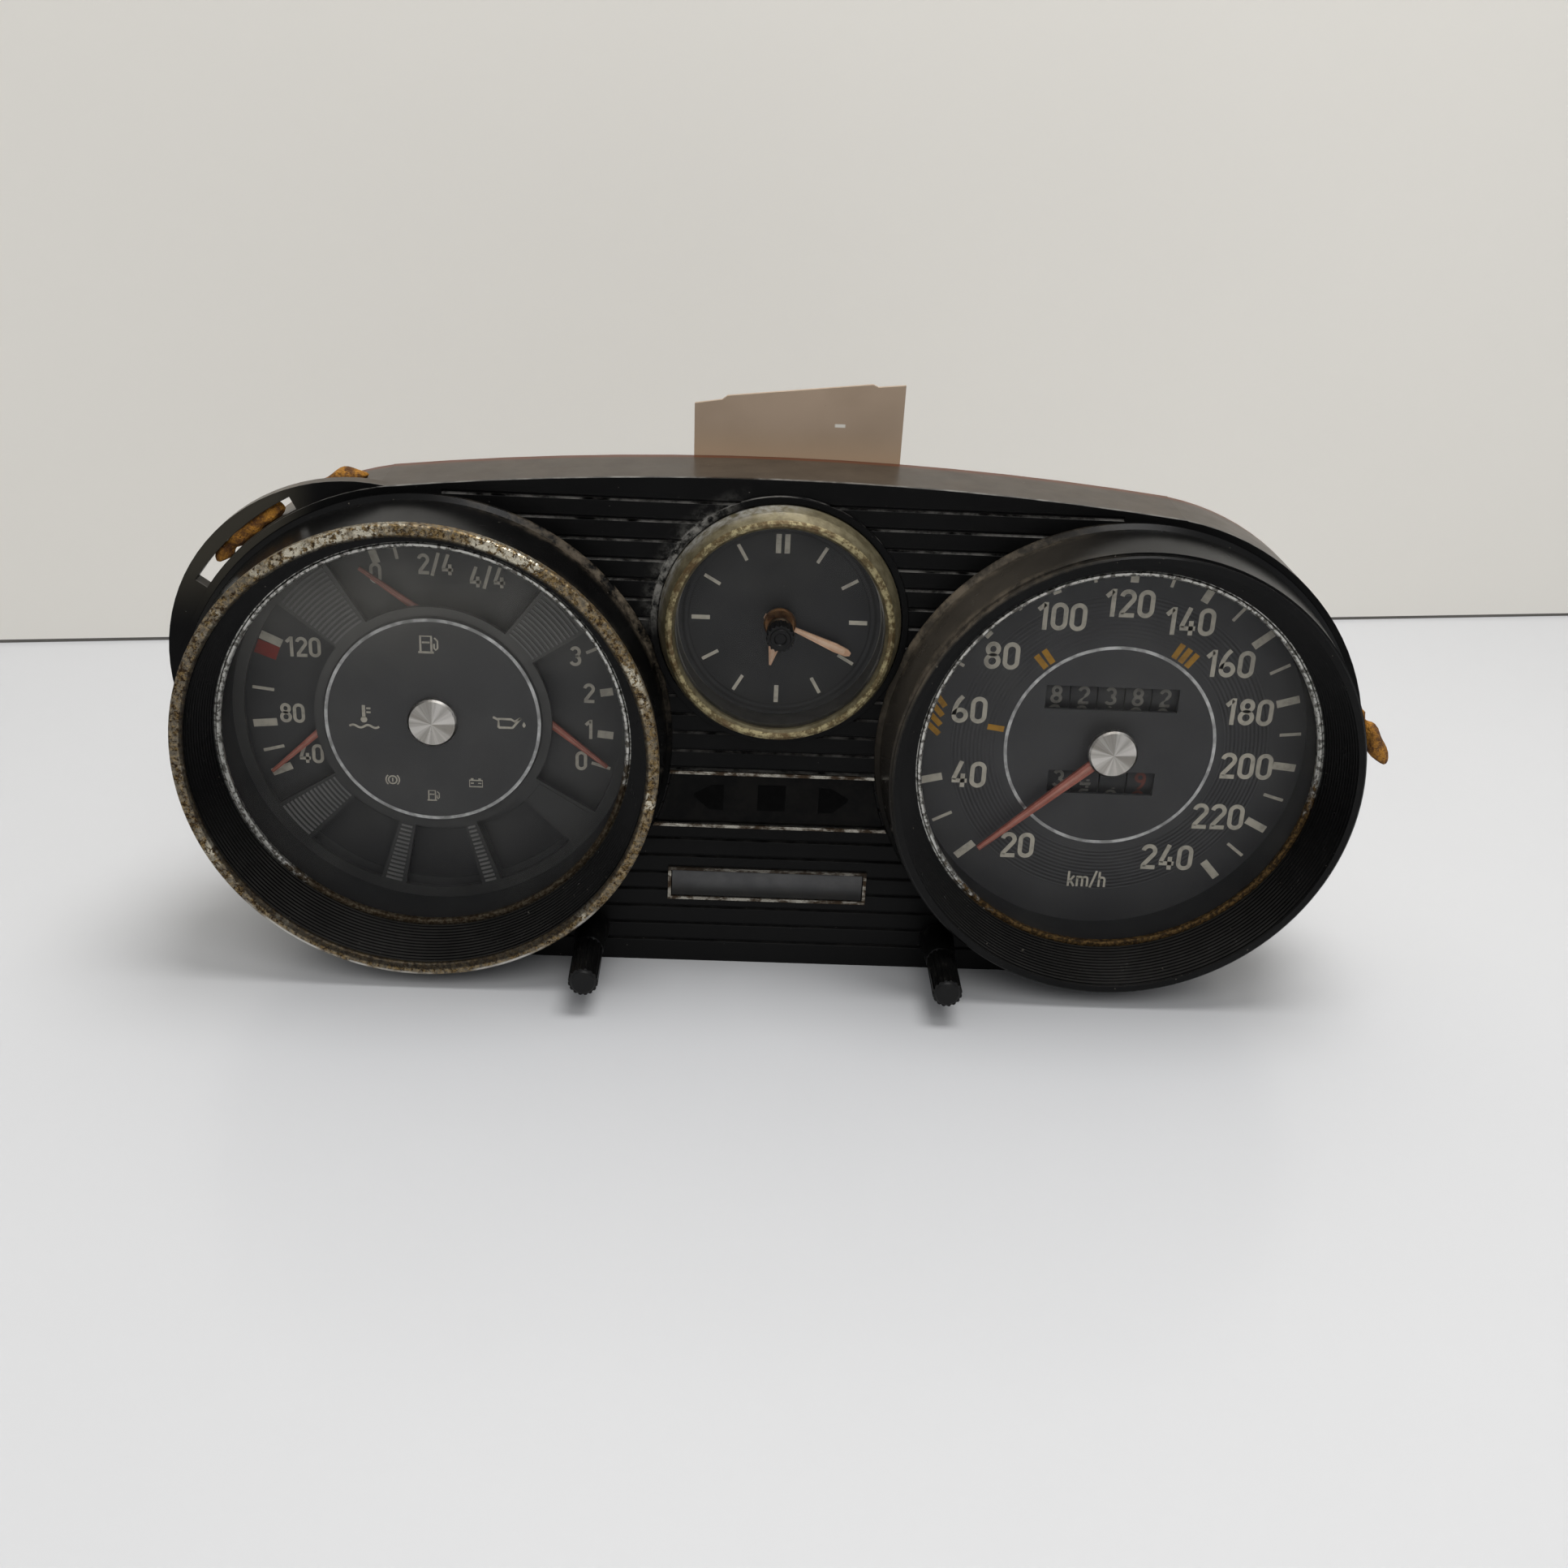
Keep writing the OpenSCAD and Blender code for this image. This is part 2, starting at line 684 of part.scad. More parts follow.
module gauge_face() {
    color([0.14, 0.14, 0.15]) at_left()
    difference() {
        rod(stack_r, face_y, face_back);
        for (p = [fuel_at, temp_at, oil_at]) {
            translate([p[0], 0, p[1]]) rod(staff_r + play, face_y - 1, face_back + 1);
        }
        for (s = [2, 3, 4]) {
            slab(face_y - 1, face_back + 1)
                ring_sector(window_r0 + 2.5, window_r1 - 0.8, 90 - spokes[s + 1][0] + spokes[s + 1][1],
                90 - spokes[s][0] - spokes[s][1]);
        }
    }
}

module warning_lenses() {
    color([0.3, 0.05, 0.05]) at_left()
    for (s = [2, 3, 4]) {
        slab(face_y + 0.1, face_back)
            ring_sector(window_r0 + 2.6, window_r1 - 0.9, 90.2 - spokes[s + 1][0] + spokes[s + 1][1],
            89.8 - spokes[s][0] - spokes[s][1]);
        slab(face_back, face_back + 1)
            ring_sector(window_r0 + 1, window_r1 + 0.2, 91 - spokes[s + 1][0] + 1, 89 - spokes[s][0] - 1);
    }
}

module gauge_movements() {
    color([0.5, 0.5, 0.47]) at_left()
    for (p = [fuel_at, temp_at, oil_at]) {
        translate([p[0], 0, p[1]])
        difference() {
            union() {
                rod(movement_r, face_back, face_back + movement_len);
                rod(movement_neck_r, face_back + movement_len, movement_end);
            }
            rod(staff_r + play, face_back - 1, face_back + 4);
        }
    }
}

module gauge_terminals() {
    color([0.75, 0.6, 0.3]) at_left()
    for (p = concat(fuel_pins, temp_pins)) {
        translate([p[0], 0, p[1]]) {
            rod(3.6, gauge_can_y, gauge_can_y + 1.2);
            block(0.8, 6.3, gauge_can_y + 1, gauge_can_y + 10);
        }
    }
}

module oil_union() {
    color([0.72, 0.56, 0.28]) at_left() translate([oil_at[0], 0, oil_at[1]])
    difference() {
        union() {
            rod(oil_thread_r - 0.5, movement_end, gauge_can_y + 0.5);
            slab(gauge_can_y, gauge_can_y + oil_hex_len)
                polygon([for (i = [0 : 5]) [oil_hex_r * cos(60 * i), oil_hex_r * sin(60 * i)]]);
            rod(oil_thread_r, gauge_can_y + oil_hex_len - 0.5, gauge_can_y + oil_hex_len + oil_thread_len);
        }
        rod(1.6, movement_end + 2, gauge_can_y + oil_hex_len + oil_thread_len + 1);
    }
}

// Tapered needle on a staff, pointing along a direction counted clockwise from the top.
module gauge_needle(p, len) {
    color([0.72, 0.4, 0.33]) at_left() translate([p[0], 0, p[1]]) rotate([0, p[2], 0])
    union() {
        slab(needle_y, needle_y + needle_t)
            polygon([[-1.1, -4], [1.1, -4], [0.95, 4], [0.4, len], [-0.4, len], [-0.95, 4]]);
        rod(2.4, needle_y - 0.2, needle_y + needle_t + 0.2);
        rod(staff_r, needle_y, face_back + 3);
    }
}

module fuel_needle() {
    gauge_needle(fuel_at, fuel_len);
}

module temp_needle() {
    gauge_needle(temp_at, temp_len);
}

module oil_needle() {
    gauge_needle(oil_at, oil_len);
}

module speedo_dial() {
    color([0.16, 0.16, 0.17]) at_right()
    difference() {
        rod(stack_r, dial_y, dial_back);
        rod(2, dial_y - 1, dial_back + 1);
        translate([odo_x, 0, odo_up]) block(5 * odo_pitch - 0.8, window_h, dial_y - 1, dial_back + 1);
        translate([trip_x, 0, -trip_down]) block(4 * trip_pitch - 0.8, window_h, dial_y - 1, dial_back + 1);
    }
}

module speedo_frame() {
    color([0.66, 0.66, 0.64]) at_right()
    difference() {
        union() {
            translate([-1, 0, 0]) block(66, 56, frame_y, frame_y + frame_t);
            for (p = front_pillars) {
                translate([p[0], 0, p[1]]) rod(2.2, dial_back, frame_y + 0.5);
            }
            for (p = rear_pillars) {
                translate([p[0], 0, p[1]]) rod(2.5, frame_y + 1, speedo_can_y - can_back_t);
            }
            for (x = [cheek_l, cheek_r]) {
                translate([x, drum_y - 4, -cheek_h / 2]) cube([cheek_t, frame_y - drum_y + 4.5, cheek_h]);
            }
            for (z = [odo_up, -trip_down]) {
                translate([cheek_l + 0.5, drum_y, z]) rotate([0, 90, 0])
                    cylinder(r = axle_r, h = cheek_r - cheek_l + 0.8);
            }
        }
        rod(speed_staff_r + play, frame_y - 1, frame_y + frame_t + 1);
    }
}

module speed_needle() {
    color([0.72, 0.4, 0.33]) at_right() rotate([0, speed_at, 0])
    difference() {
        union() {
            slab(speed_y, speed_y + speed_needle_t)
                polygon([[-1.5, 0], [1.5, 0], [1.35, 8], [0.55, speed_len], [-0.55, speed_len], [-1.35, 8]]);
            rod(4, speed_y, speed_y + speed_needle_t + 0.6);
        }
        rod(speed_staff_r, speed_y - 1, speed_y + 3);
    }
}

module speed_cap() {
    color([0.85, 0.84, 0.81]) at_right() cap(speed_y, speed_cap_h);
}

module speed_cup() {
    color([0.8, 0.8, 0.8]) at_right()
    union() {
        rod(speed_staff_r, speed_y, cup_y + cup_t / 2);
        spin([[0, cup_y], [cup_r, cup_y], [cup_r, cup_y + cup_len], [cup_r - cup_t, cup_y + cup_len],
            [cup_r - cup_t, cup_y + cup_t], [0, cup_y + cup_t]]);
    }
}

module drive_bush() {
    color([0.7, 0.55, 0.28]) at_right()
    spin([[drive_r + play, speedo_can_y - 3.5], [thread_r - 1, speedo_can_y - 3.5],
        [thread_r - 1, speedo_can_y],
        [thread_r + 3.5, speedo_can_y], [thread_r + 3.5, thread_y], [thread_r, thread_y],
        [thread_r, thread_end - 0.6], [thread_r - 0.6, thread_end],
        [thread_r - 2.6, thread_end], [thread_r - 2.6, thread_end - recess_len],
        [drive_r + play, thread_end - recess_len]]);
}

module drive_shaft() {
    end = thread_end - recess_len - 0.2;
    color([0.5, 0.5, 0.52]) at_right()
    difference() {
        union() {
            rod(magnet_r, magnet_y, magnet_y + magnet_t);
            rod(drive_r, magnet_y + magnet_t - 0.5, end);
            rod(magnet_r - 7, magnet_y + magnet_t - 0.5, magnet_y + magnet_t + 1.5);
        }
        block(square_w, square_w, end - 8, end + 1);
    }
}

module drum(w) {
    rotate([0, 90, 0])
    difference() {
        cylinder(r = drum_r, h = w, center = true);
        cylinder(r = axle_r + play, h = w + 2, center = true);
        for (s = [-1, 1]) {
            translate([0, 0, s * w / 2]) cylinder(r = drum_r - 1.6, h = 1.6, center = true);
        }
    }
}

module odo_drum(i) {
    color([0.1, 0.1, 0.1]) at_right()
    translate([odo_x + (i - 3) * odo_pitch, drum_y, odo_up]) drum(odo_pitch - drum_gap);
}

module trip_drum(i) {
    color([0.1, 0.1, 0.1]) at_right()
    translate([trip_x + (i - 2.5) * trip_pitch, drum_y, -trip_down]) drum(trip_pitch - drum_gap);
}

module odo_drum_1() {
    odo_drum(1);
}

module odo_drum_2() {
    odo_drum(2);
}

module odo_drum_3() {
    odo_drum(3);
}

module odo_drum_4() {
    odo_drum(4);
}

module odo_drum_5() {
    odo_drum(5);
}

module trip_drum_1() {
    trip_drum(1);
}

module trip_drum_2() {
    trip_drum(2);
}

module trip_drum_3() {
    trip_drum(3);
}

module trip_drum_4() {
    trip_drum(4);
}

module clock_bezel() {
    bore = case_r + 0.3;
    color([0.72, 0.66, 0.48]) at_clock()
    spin([[bezel_foot_r, panel_y], [bezel_foot_r, panel_y - 1.6], [bezel_r + 0.9, panel_y - 5],
        [bezel_r, bezel_y + 1.2], [bezel_r - 0.3, bezel_y + 0.4], [bezel_r - 1, bezel_y],
        [clock_mouth_r + 0.7, bezel_y + 0.3], [clock_mouth_r, bezel_y + 1.4], [clock_mouth_r, clock_glass_y],
        [bore, clock_glass_y], [bore, panel_y]]);
}

module clock_glass() {
    color([0.8, 0.85, 0.85, 0.3]) at_clock()
    difference() {
        rod(case_r, clock_glass_y, clock_glass_y + clock_glass_t);
        rod(2.6, clock_glass_y - 1, clock_glass_y + 3);
    }
}

module clock_bush() {
    bore = set_shaft_r + play;
    end = clock_glass_y + clock_glass_t + 0.2;
    color([0.45, 0.3, 0.18]) at_clock()
    spin([[bore, clock_glass_y - bush_flange], [bush_r - 0.4, clock_glass_y - bush_flange],
        [bush_r, clock_glass_y - 0.4], [bush_r, clock_glass_y], [2.5, clock_glass_y], [2.5, end], [bore, end]]);
}

module clock_case() {
    inner = case_r - case_wall;
    ledge = clock_dial_y + clock_dial_t;
    color([0.55, 0.55, 0.53]) at_clock()
    union() {
        spin([[case_r, clock_glass_y + clock_glass_t], [inner, clock_glass_y + clock_glass_t],
            [inner, ledge], [inner - 1.4, ledge],
            [inner - 1.4, ledge + 1], [inner, ledge + 1.6], [inner, case_y - 1], [0, case_y - 1], [0, case_y],
            [case_r, case_y]]);
        rod(14, ledge + 2.5, case_y - 0.5);
        rod(post_r, hand_y - hand_step - 0.5, ledge + 3);
    }
}

module clock_dial() {
    color([0.12, 0.12, 0.13]) at_clock()
    difference() {
        rod(case_r - case_wall - 0.3, clock_dial_y, clock_dial_y + clock_dial_t);
        rod(1.4, clock_dial_y - 1, clock_dial_y + 2);
    }
}

module hour_hand() {
    color([0.85, 0.62, 0.48]) at_clock() rotate([0, 180 + minute_at / 12, 0])
    difference() {
        union() {
            rod(2.2, hand_y, hand_y + hand_t);
            slab(hand_y, hand_y + hand_t)
                polygon([[-0.5, 0], [0.5, 0], [1.3, hour_len - 4.6], [0.25, hour_len], [-0.25, hour_len],
                [-1.3, hour_len - 4.6]]);
        }
        rod(post_r + play, hand_y - 1, hand_y + 2);
    }
}

module minute_hand() {
    y0 = hand_y - hand_step;
    color([0.85, 0.62, 0.48]) at_clock() rotate([0, minute_at, 0])
    difference() {
        union() {
            rod(1.8, y0, y0 + hand_t);
            slab(y0, y0 + hand_t)
                polygon([[-0.6, -4], [0.6, -4], [0.5, 4], [1.1, minute_len - 4], [0.9, minute_len - 0.9],
                [0.4, minute_len], [-0.4, minute_len], [-0.9, minute_len - 0.9], [-1.1, minute_len - 4],
                [-0.5, 4]]);
        }
        rod(post_r + play, y0 - 1, y0 + 2);
    }
}

// Grooved grip along Y.
module grip(r, y0, y1, count) {
    difference() {
        rod(r, y0, y1);
        for (i = [0 : count - 1]) {
            rotate([0, i * 360 / count, 0]) translate([r + 0.12, 0, 0]) rod(0.42, y0 - 1, y1 + 1);
        }
    }
}

module clock_knob() {
    back = clock_glass_y - bush_flange - set_gap;
    color([0.04, 0.04, 0.04]) at_clock()
    union() {
        grip(set_r, back - set_len, back, 18);
        rod(set_shaft_r, back - 0.5, clock_glass_y + clock_glass_t + 0.4);
    }
}

module indicator_lens() {
    color([0.08, 0.07, 0.06]) {
        slab(panel_y + lens_sink, panel_back) lens_shape(-window_gap);
        slab(panel_back, panel_back + flange_t) lens_shape(1);
    }
}

module info_window() {
    color([0.3, 0.3, 0.31]) {
        slab(panel_y - 0.3, panel_back) info_shape(-window_gap);
        slab(panel_back, panel_back + flange_t) info_shape(1.2);
    }
}

module centre_trims() {
    color([0.78, 0.77, 0.74]) {
        for (z = [-lens_top + 0.1, -lens_bottom - 0.1 - trim_w]) {
            slab(panel_y - trim_h, panel_y)
                difference() {
                    translate([-lens_half, axis_z + z]) square([2 * lens_half, trim_w]);
                    for (s = [-1, 1]) {
                        translate([s * bx, axis_z]) circle(r = barrel_foot_r + 0.1);
                    }
                }
        }
        slab(panel_y - trim_h, panel_y)
            difference() {
                info_shape(0.1 + trim_w);
                info_shape(0.1);
            }
    }
}

// Lower knob: grooved front, smooth collar, shaft into the panel.
module lower_knob(tail) {
    seat = panel_y - 0.3;
    split = knob_y + 0.55 * (seat - knob_y);
    union() {
        grip(knob_r, knob_y + 0.4, split, 16);
        spin([[0, knob_y], [knob_r - 0.9, knob_y], [knob_r - 0.5, knob_y + 0.4], [0, knob_y + 0.4]]);
        spin([[0, split - 0.1], [knob_r - 0.25, split - 0.1], [knob_r + 0.1, split + 0.4],
            [sleeve_r, seat - 3], [sleeve_r, seat - 1.2], [sleeve_r - 0.8, seat], [0, seat]]);
        rod(shaft_r, seat - 0.1, tail);
    }
}

module dimmer_knob() {
    color([0.05, 0.05, 0.05]) translate([-knob_x, 0, knob_z]) lower_knob(panel_back + 11);
}

module trip_knob() {
    end = panel_back + knob_boss_len + 0.4;
    color([0.05, 0.05, 0.05]) translate([knob_x, 0, knob_z])
    union() {
        lower_knob(end + 4);
        rod(3.4, end, end + 3);
    }
}

module dimmer_body() {
    color([0.75, 0.7, 0.6]) translate([-knob_x, 0, knob_z])
    difference() {
        rod(6.4, panel_back + knob_boss_len, plate_y - 1.2);
        rod(shaft_r + play, panel_back + 5, panel_back + 12);
    }
}

module lamp(y, wall_t) {
    rod(lamp_neck_r, y - wall_t - 0.6, y);
    spin([[0, y], [lamp_r, y], [lamp_r, y + 2], [lamp_r - 1.2, y + 2.6], [lamp_r - 1.2, y + 7],
        [lamp_r - 2, y + 8], [0, y + 8]]);
    for (a = [0, 180]) {
        rotate([0, a, 0]) translate([lamp_r - 1.4, y + 2.4, -0.7]) cube([1.4, 4, 1.4]);
    }
    spin([[0, y - wall_t - 8], [1.4, y - wall_t - 7.6], [2.5, y - wall_t - 6.4], [2.5, y - wall_t - 0.5],
        [0, y - wall_t - 0.5]]);
}

module lamp_holders() {
    color([0.8, 0.78, 0.7]) {
        for (p = plate_lamps) {
            translate([p[0], 0, axis_z + p[1]]) lamp(shell_back_y, plate_t);
        }
        at_left() for (p = gauge_lamps) {
            translate([p[0], 0, p[1]]) lamp(gauge_can_y, can_back_t);
        }
        at_right() for (p = speedo_lamps) {
            translate([p[0], 0, p[1]]) lamp(speedo_can_y, can_back_t);
        }
    }
}

module wiring_socket() {
    end = shell_back_y + socket_len;
    color([0.6, 0.58, 0.5]) translate([0, 0, axis_z - socket_down]) {
        difference() {
            union() {
                block(socket_w + 4, socket_h + 3, shell_back_y, shell_back_y + 2);
                block(socket_w, socket_h, shell_back_y + 1, end);
                block(socket_w - 2.4, socket_h - 2.4, plate_y - 1, shell_back_y + 1);
            }
            block(socket_w - 2 * socket_wall, socket_h - 2 * socket_wall, shell_back_y + 3, end + 1);
        }
        for (i = [-side_pins : side_pins]) {
            translate([pin_pitch * i, 0, 0]) block(pin_t, 0.4 * socket_h, shell_back_y + 2.5, end - 1.5);
        }
    }
}

module retaining_bracket() {
    y0 = shell_back_y + slide_gap;
    low = stud_up - 13;
    color([0.48, 0.43, 0.38]) translate([0, 0, axis_z])
    difference() {
        slab(y0, y0 + bracket_t)
            translate([bracket_x, 0])
            polygon([[0.4 - bracket_half, low], [bracket_half - 0.1, low], [bracket_half + 0.5, bracket_top],
                [bracket_half - 6.1, bracket_top - 0.7], [bracket_half - 7.4, bracket_top - 0.1],
                [7.6 - bracket_half, bracket_top - 4.2], [6.3 - bracket_half, bracket_top - 5.2],
                [-0.3 - bracket_half, bracket_top - 6.3]]);
        slab(y0 - 1, y0 + bracket_t + 1)
            union() {
                translate([bracket_x, stud_up]) circle(r = stud_r + slide_gap);
                translate([bracket_x, stud_up + bracket_drop]) circle(r = stud_r + slide_gap);
                translate([bracket_x - stud_r - slide_gap, stud_up])
                    square([2 * stud_r + 2 * slide_gap, bracket_drop]);
            }
    }
}

module bracket_stud() {
    color([0.6, 0.6, 0.58]) translate([bracket_x, 0, axis_z + stud_up])
    union() {
        rod(stud_r + 2.5, plate_y - 1.2, plate_y);
        rod(stud_r, plate_y - 0.5, shell_back_y + bracket_t + nut_len + 4);
    }
}

module knurled_nut() {
    y0 = shell_back_y + bracket_t + 2 * slide_gap;
    color([0.62, 0.6, 0.54]) translate([bracket_x, 0, axis_z + stud_up])
    difference() {
        union() {
            grip(nut_r, y0 + 1, y0 + nut_len, 36);
            rod(nut_r - 0.6, y0, y0 + 1.2);
        }
        rod(stud_r + play, y0 - 1, y0 + nut_len + 1);
    }
}

housing();
back_plate();
plate_screws();
left_barrel();
right_barrel();
left_rim();
left_glass_ring();
right_glass_ring();
left_glass();
right_glass();
left_spacer();
right_spacer();
gauge_can();
speedo_can();
gauge_mask();
gauge_centre();
gauge_cap();
gauge_face();
warning_lenses();
gauge_movements();
gauge_terminals();
oil_union();
fuel_needle();
temp_needle();
oil_needle();
speedo_dial();
speedo_frame();
speed_needle();
speed_cap();
speed_cup();
drive_bush();
drive_shaft();
odo_drum_1();
odo_drum_2();
odo_drum_3();
odo_drum_4();
odo_drum_5();
trip_drum_1();
trip_drum_2();
trip_drum_3();
trip_drum_4();
clock_bezel();
clock_glass();
clock_case();
clock_dial();
clock_bush();
hour_hand();
minute_hand();
clock_knob();
indicator_lens();
info_window();
centre_trims();
dimmer_knob();
dimmer_body();
trip_knob();
lamp_holders();
wiring_socket();
retaining_bracket();
bracket_stud();
knurled_nut();
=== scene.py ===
"""Looks of a vintage instrument cluster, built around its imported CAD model."""

import math
import random

import bmesh
import bpy
from mathutils import Matrix, Vector


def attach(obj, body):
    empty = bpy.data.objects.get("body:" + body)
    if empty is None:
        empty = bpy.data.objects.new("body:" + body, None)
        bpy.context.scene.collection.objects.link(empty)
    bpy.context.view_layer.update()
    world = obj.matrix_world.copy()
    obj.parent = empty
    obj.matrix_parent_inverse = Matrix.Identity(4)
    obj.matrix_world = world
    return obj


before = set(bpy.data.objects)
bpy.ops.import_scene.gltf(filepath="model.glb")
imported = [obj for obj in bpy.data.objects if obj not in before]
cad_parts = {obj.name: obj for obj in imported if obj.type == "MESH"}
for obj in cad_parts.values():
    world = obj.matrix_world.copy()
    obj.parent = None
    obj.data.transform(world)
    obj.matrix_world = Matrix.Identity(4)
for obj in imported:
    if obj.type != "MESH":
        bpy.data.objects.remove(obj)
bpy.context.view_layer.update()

# Millimetres: X and Z of each axis, depth of each face, the drums' depth and radius, height of print
MM = 0.001
LEFT = (-85, 61.52)
RIGHT = (85, 61.52)
CLOCK = (0, 93.32)
SPEED_FACE = -1.5
GAUGE_FACE = 4.2
CENTRE_FACE = -0.8
MASK_FACE = 0
CLOCK_FACE = -6.2
LENS_FACE = -7.5
DRUM_Y = 8.7
DRUM_R = 8.4
PRINT = 0.06


def rgb(r, g, b):
    """Linear colour of an sRGB one."""
    def linear(c):
        c /= 255
        return c / 12.92 if c <= 0.04045 else ((c + 0.055) / 1.055) ** 2.4
    return (linear(r), linear(g), linear(b), 1)


# Materials


class Look:
    """A procedural material on one Principled shader. Noise sizes and the limits of along and around are in
    millimetres; colours are sRGB triples."""

    def __init__(self, name, **sockets):
        self.material = bpy.data.materials.new(name)
        self.material.use_nodes = True
        self.tree = self.material.node_tree
        self.shader = self.tree.nodes["Principled BSDF"]
        self.place = None
        for label, value in sockets.items():
            self.shader.inputs[label.replace("_", " ")].default_value = value

    def feed(self, socket, value):
        """Links a value to a socket, or sets it there if it is a constant."""
        if isinstance(value, bpy.types.NodeSocket):
            self.tree.links.new(value, socket)
        else:
            socket.default_value = value

    def add(self, kind, inputs=(), **settings):
        node = self.tree.nodes.new("ShaderNode" + kind)
        for key, value in settings.items():
            setattr(node, key, value)
        for key, value in dict(inputs).items():
            self.feed(node.inputs[key], value)
        return node

    def coords(self):
        if self.place is None:
            self.place = self.add("TexCoord").outputs["Object"]
        return self.place

    def axis(self, letter, origin=0):
        """Distance along an axis of the frame, in metres from an origin in millimetres."""
        value = self.add("SeparateXYZ", {0: self.coords()}).outputs[letter]
        return self.less(value, origin * MM) if origin else value

    def facing(self, letter):
        normal = self.add("NewGeometry").outputs["Normal"]
        return self.add("SeparateXYZ", {0: normal}).outputs[letter]

    def radius(self, centre):
        """Distance from an axis along Y, in metres."""
        x, z = self.axis("X", centre[0]), self.axis("Z", centre[1])
        return self.calc("SQRT", self.plus(self.times(x, x), self.times(z, z)))

    def rings(self, centre, pitch):
        """Concentric waves around an axis along Y."""
        return self.calc("SINE", self.times(self.radius(centre), 2 * math.pi / (pitch * MM)))

    def noise(self, size, detail=3, rough=0.55, stretch=(1, 1, 1)):
        vector = self.add("Mapping", {"Vector": self.coords(), "Scale": stretch}).outputs[0]
        values = {"Vector": vector, "Scale": 1 / (size * MM), "Detail": detail, "Roughness": rough}
        return self.add("TexNoise", values).outputs["Fac"]

    def cells(self, size):
        values = {"Vector": self.coords(), "Scale": 1 / (size * MM)}
        return self.add("TexVoronoi", values).outputs["Distance"]

    def calc(self, operation, a, b=0):
        return self.add("Math", {0: a, 1: b}, operation=operation).outputs[0]

    def times(self, value, *others):
        for other in others:
            value = self.calc("MULTIPLY", value, other)
        return value

    def plus(self, value, *others):
        for other in others:
            value = self.calc("ADD", value, other)
        return value

    def less(self, a, b):
        return self.calc("SUBTRACT", a, b)

    def band(self, value, low, high):
        """0 below low, 1 above high, smooth between; low may be above high."""
        node = self.add("MapRange", {"Value": value, "From Min": low, "From Max": high},
                        interpolation_type="SMOOTHSTEP")
        return node.outputs["Result"]

    def along(self, letter, low, high):
        """Band along an axis of the frame."""
        return self.band(self.axis(letter), low * MM, high * MM)

    def around(self, centre, low, high):
        """Band of the distance from an axis along Y."""
        return self.band(self.radius(centre), low * MM, high * MM)

    def patches(self, size, low, high, detail=4, rough=0.55, stretch=(1, 1, 1)):
        return self.band(self.noise(size, detail, rough, stretch), low, high)

    def specks(self, size=0.9, low=0.765, high=0.8):
        return self.patches(size, low, high, 2, 0.4)

    def mix(self, a, b, *shares):
        """Colour between a and b, by the product of the shares."""
        node = self.add("Mix", data_type="RGBA")
        for socket, value in ((0, self.times(*shares)), (6, a), (7, b)):
            self.feed(node.inputs[socket], rgb(*value) if isinstance(value, tuple) else value)
        return node.outputs[2]

    def blend(self, share, a, b):
        """Number between a and b."""
        return self.add("Mix", {0: share, 2: a, 3: b}, data_type="FLOAT").outputs[0]

    def color(self, a, b, *shares):
        self.feed(self.shader.inputs["Base Color"], self.mix(a, b, *shares))

    def rough(self, share, a, b):
        self.feed(self.shader.inputs["Roughness"], self.blend(share, a, b))

    def soften(self, radius):
        """Shades sharp edges as if they were slightly rounded."""
        normal = self.add("Bevel", {"Radius": radius * MM}, samples=4).outputs["Normal"]
        self.feed(self.shader.inputs["Normal"], normal)

    def bump(self, height, strength, depth):
        values = {"Height": height, "Strength": strength, "Distance": depth * MM}
        last = self.shader.inputs["Normal"].links
        if last:
            values["Normal"] = last[0].from_socket
        self.feed(self.shader.inputs["Normal"], self.add("Bump", values).outputs["Normal"])


def plastic(name, dark, light, rough=(0.3, 0.5), patch=14):
    """Moulded plastic with uneven gloss and a fine grain."""
    look = Look(name)
    look.color(dark, light, look.patches(patch, 0.35, 0.7))
    look.rough(look.noise(patch / 3), *rough)
    look.bump(look.noise(0.35, 2), 0.05, 0.05)
    return look


def metal(name, dark, light, rough=(0.25, 0.45), patch=6):
    """Bare metal with stains and fine marks."""
    look = Look(name, Metallic=1)
    look.color(dark, light, look.patches(patch, 0.35, 0.68, 5, 0.6))
    look.rough(look.noise(patch / 4, 3, 0.6), *rough)
    look.bump(look.noise(0.25, 3, 0.6), 0.15, 0.03)
    return look


def paint(name, tone, faded, gloss=0.3):
    """Printed paint, a little uneven and faded."""
    look = Look(name, Roughness=0.6, Specular_IOR_Level=gloss)
    look.color(tone, faded, look.patches(2.2, 0.4, 0.75, 4, 0.65))
    look.bump(look.noise(0.2, 2), 0.1, 0.01)
    return look


def dusty(look, base, dust, amount, size):
    """Mixes dust over a colour where amount is high, broken up by fine noise."""
    return look.mix(base, dust, amount, look.patches(size, 0.38, 0.66, 5, 0.7))


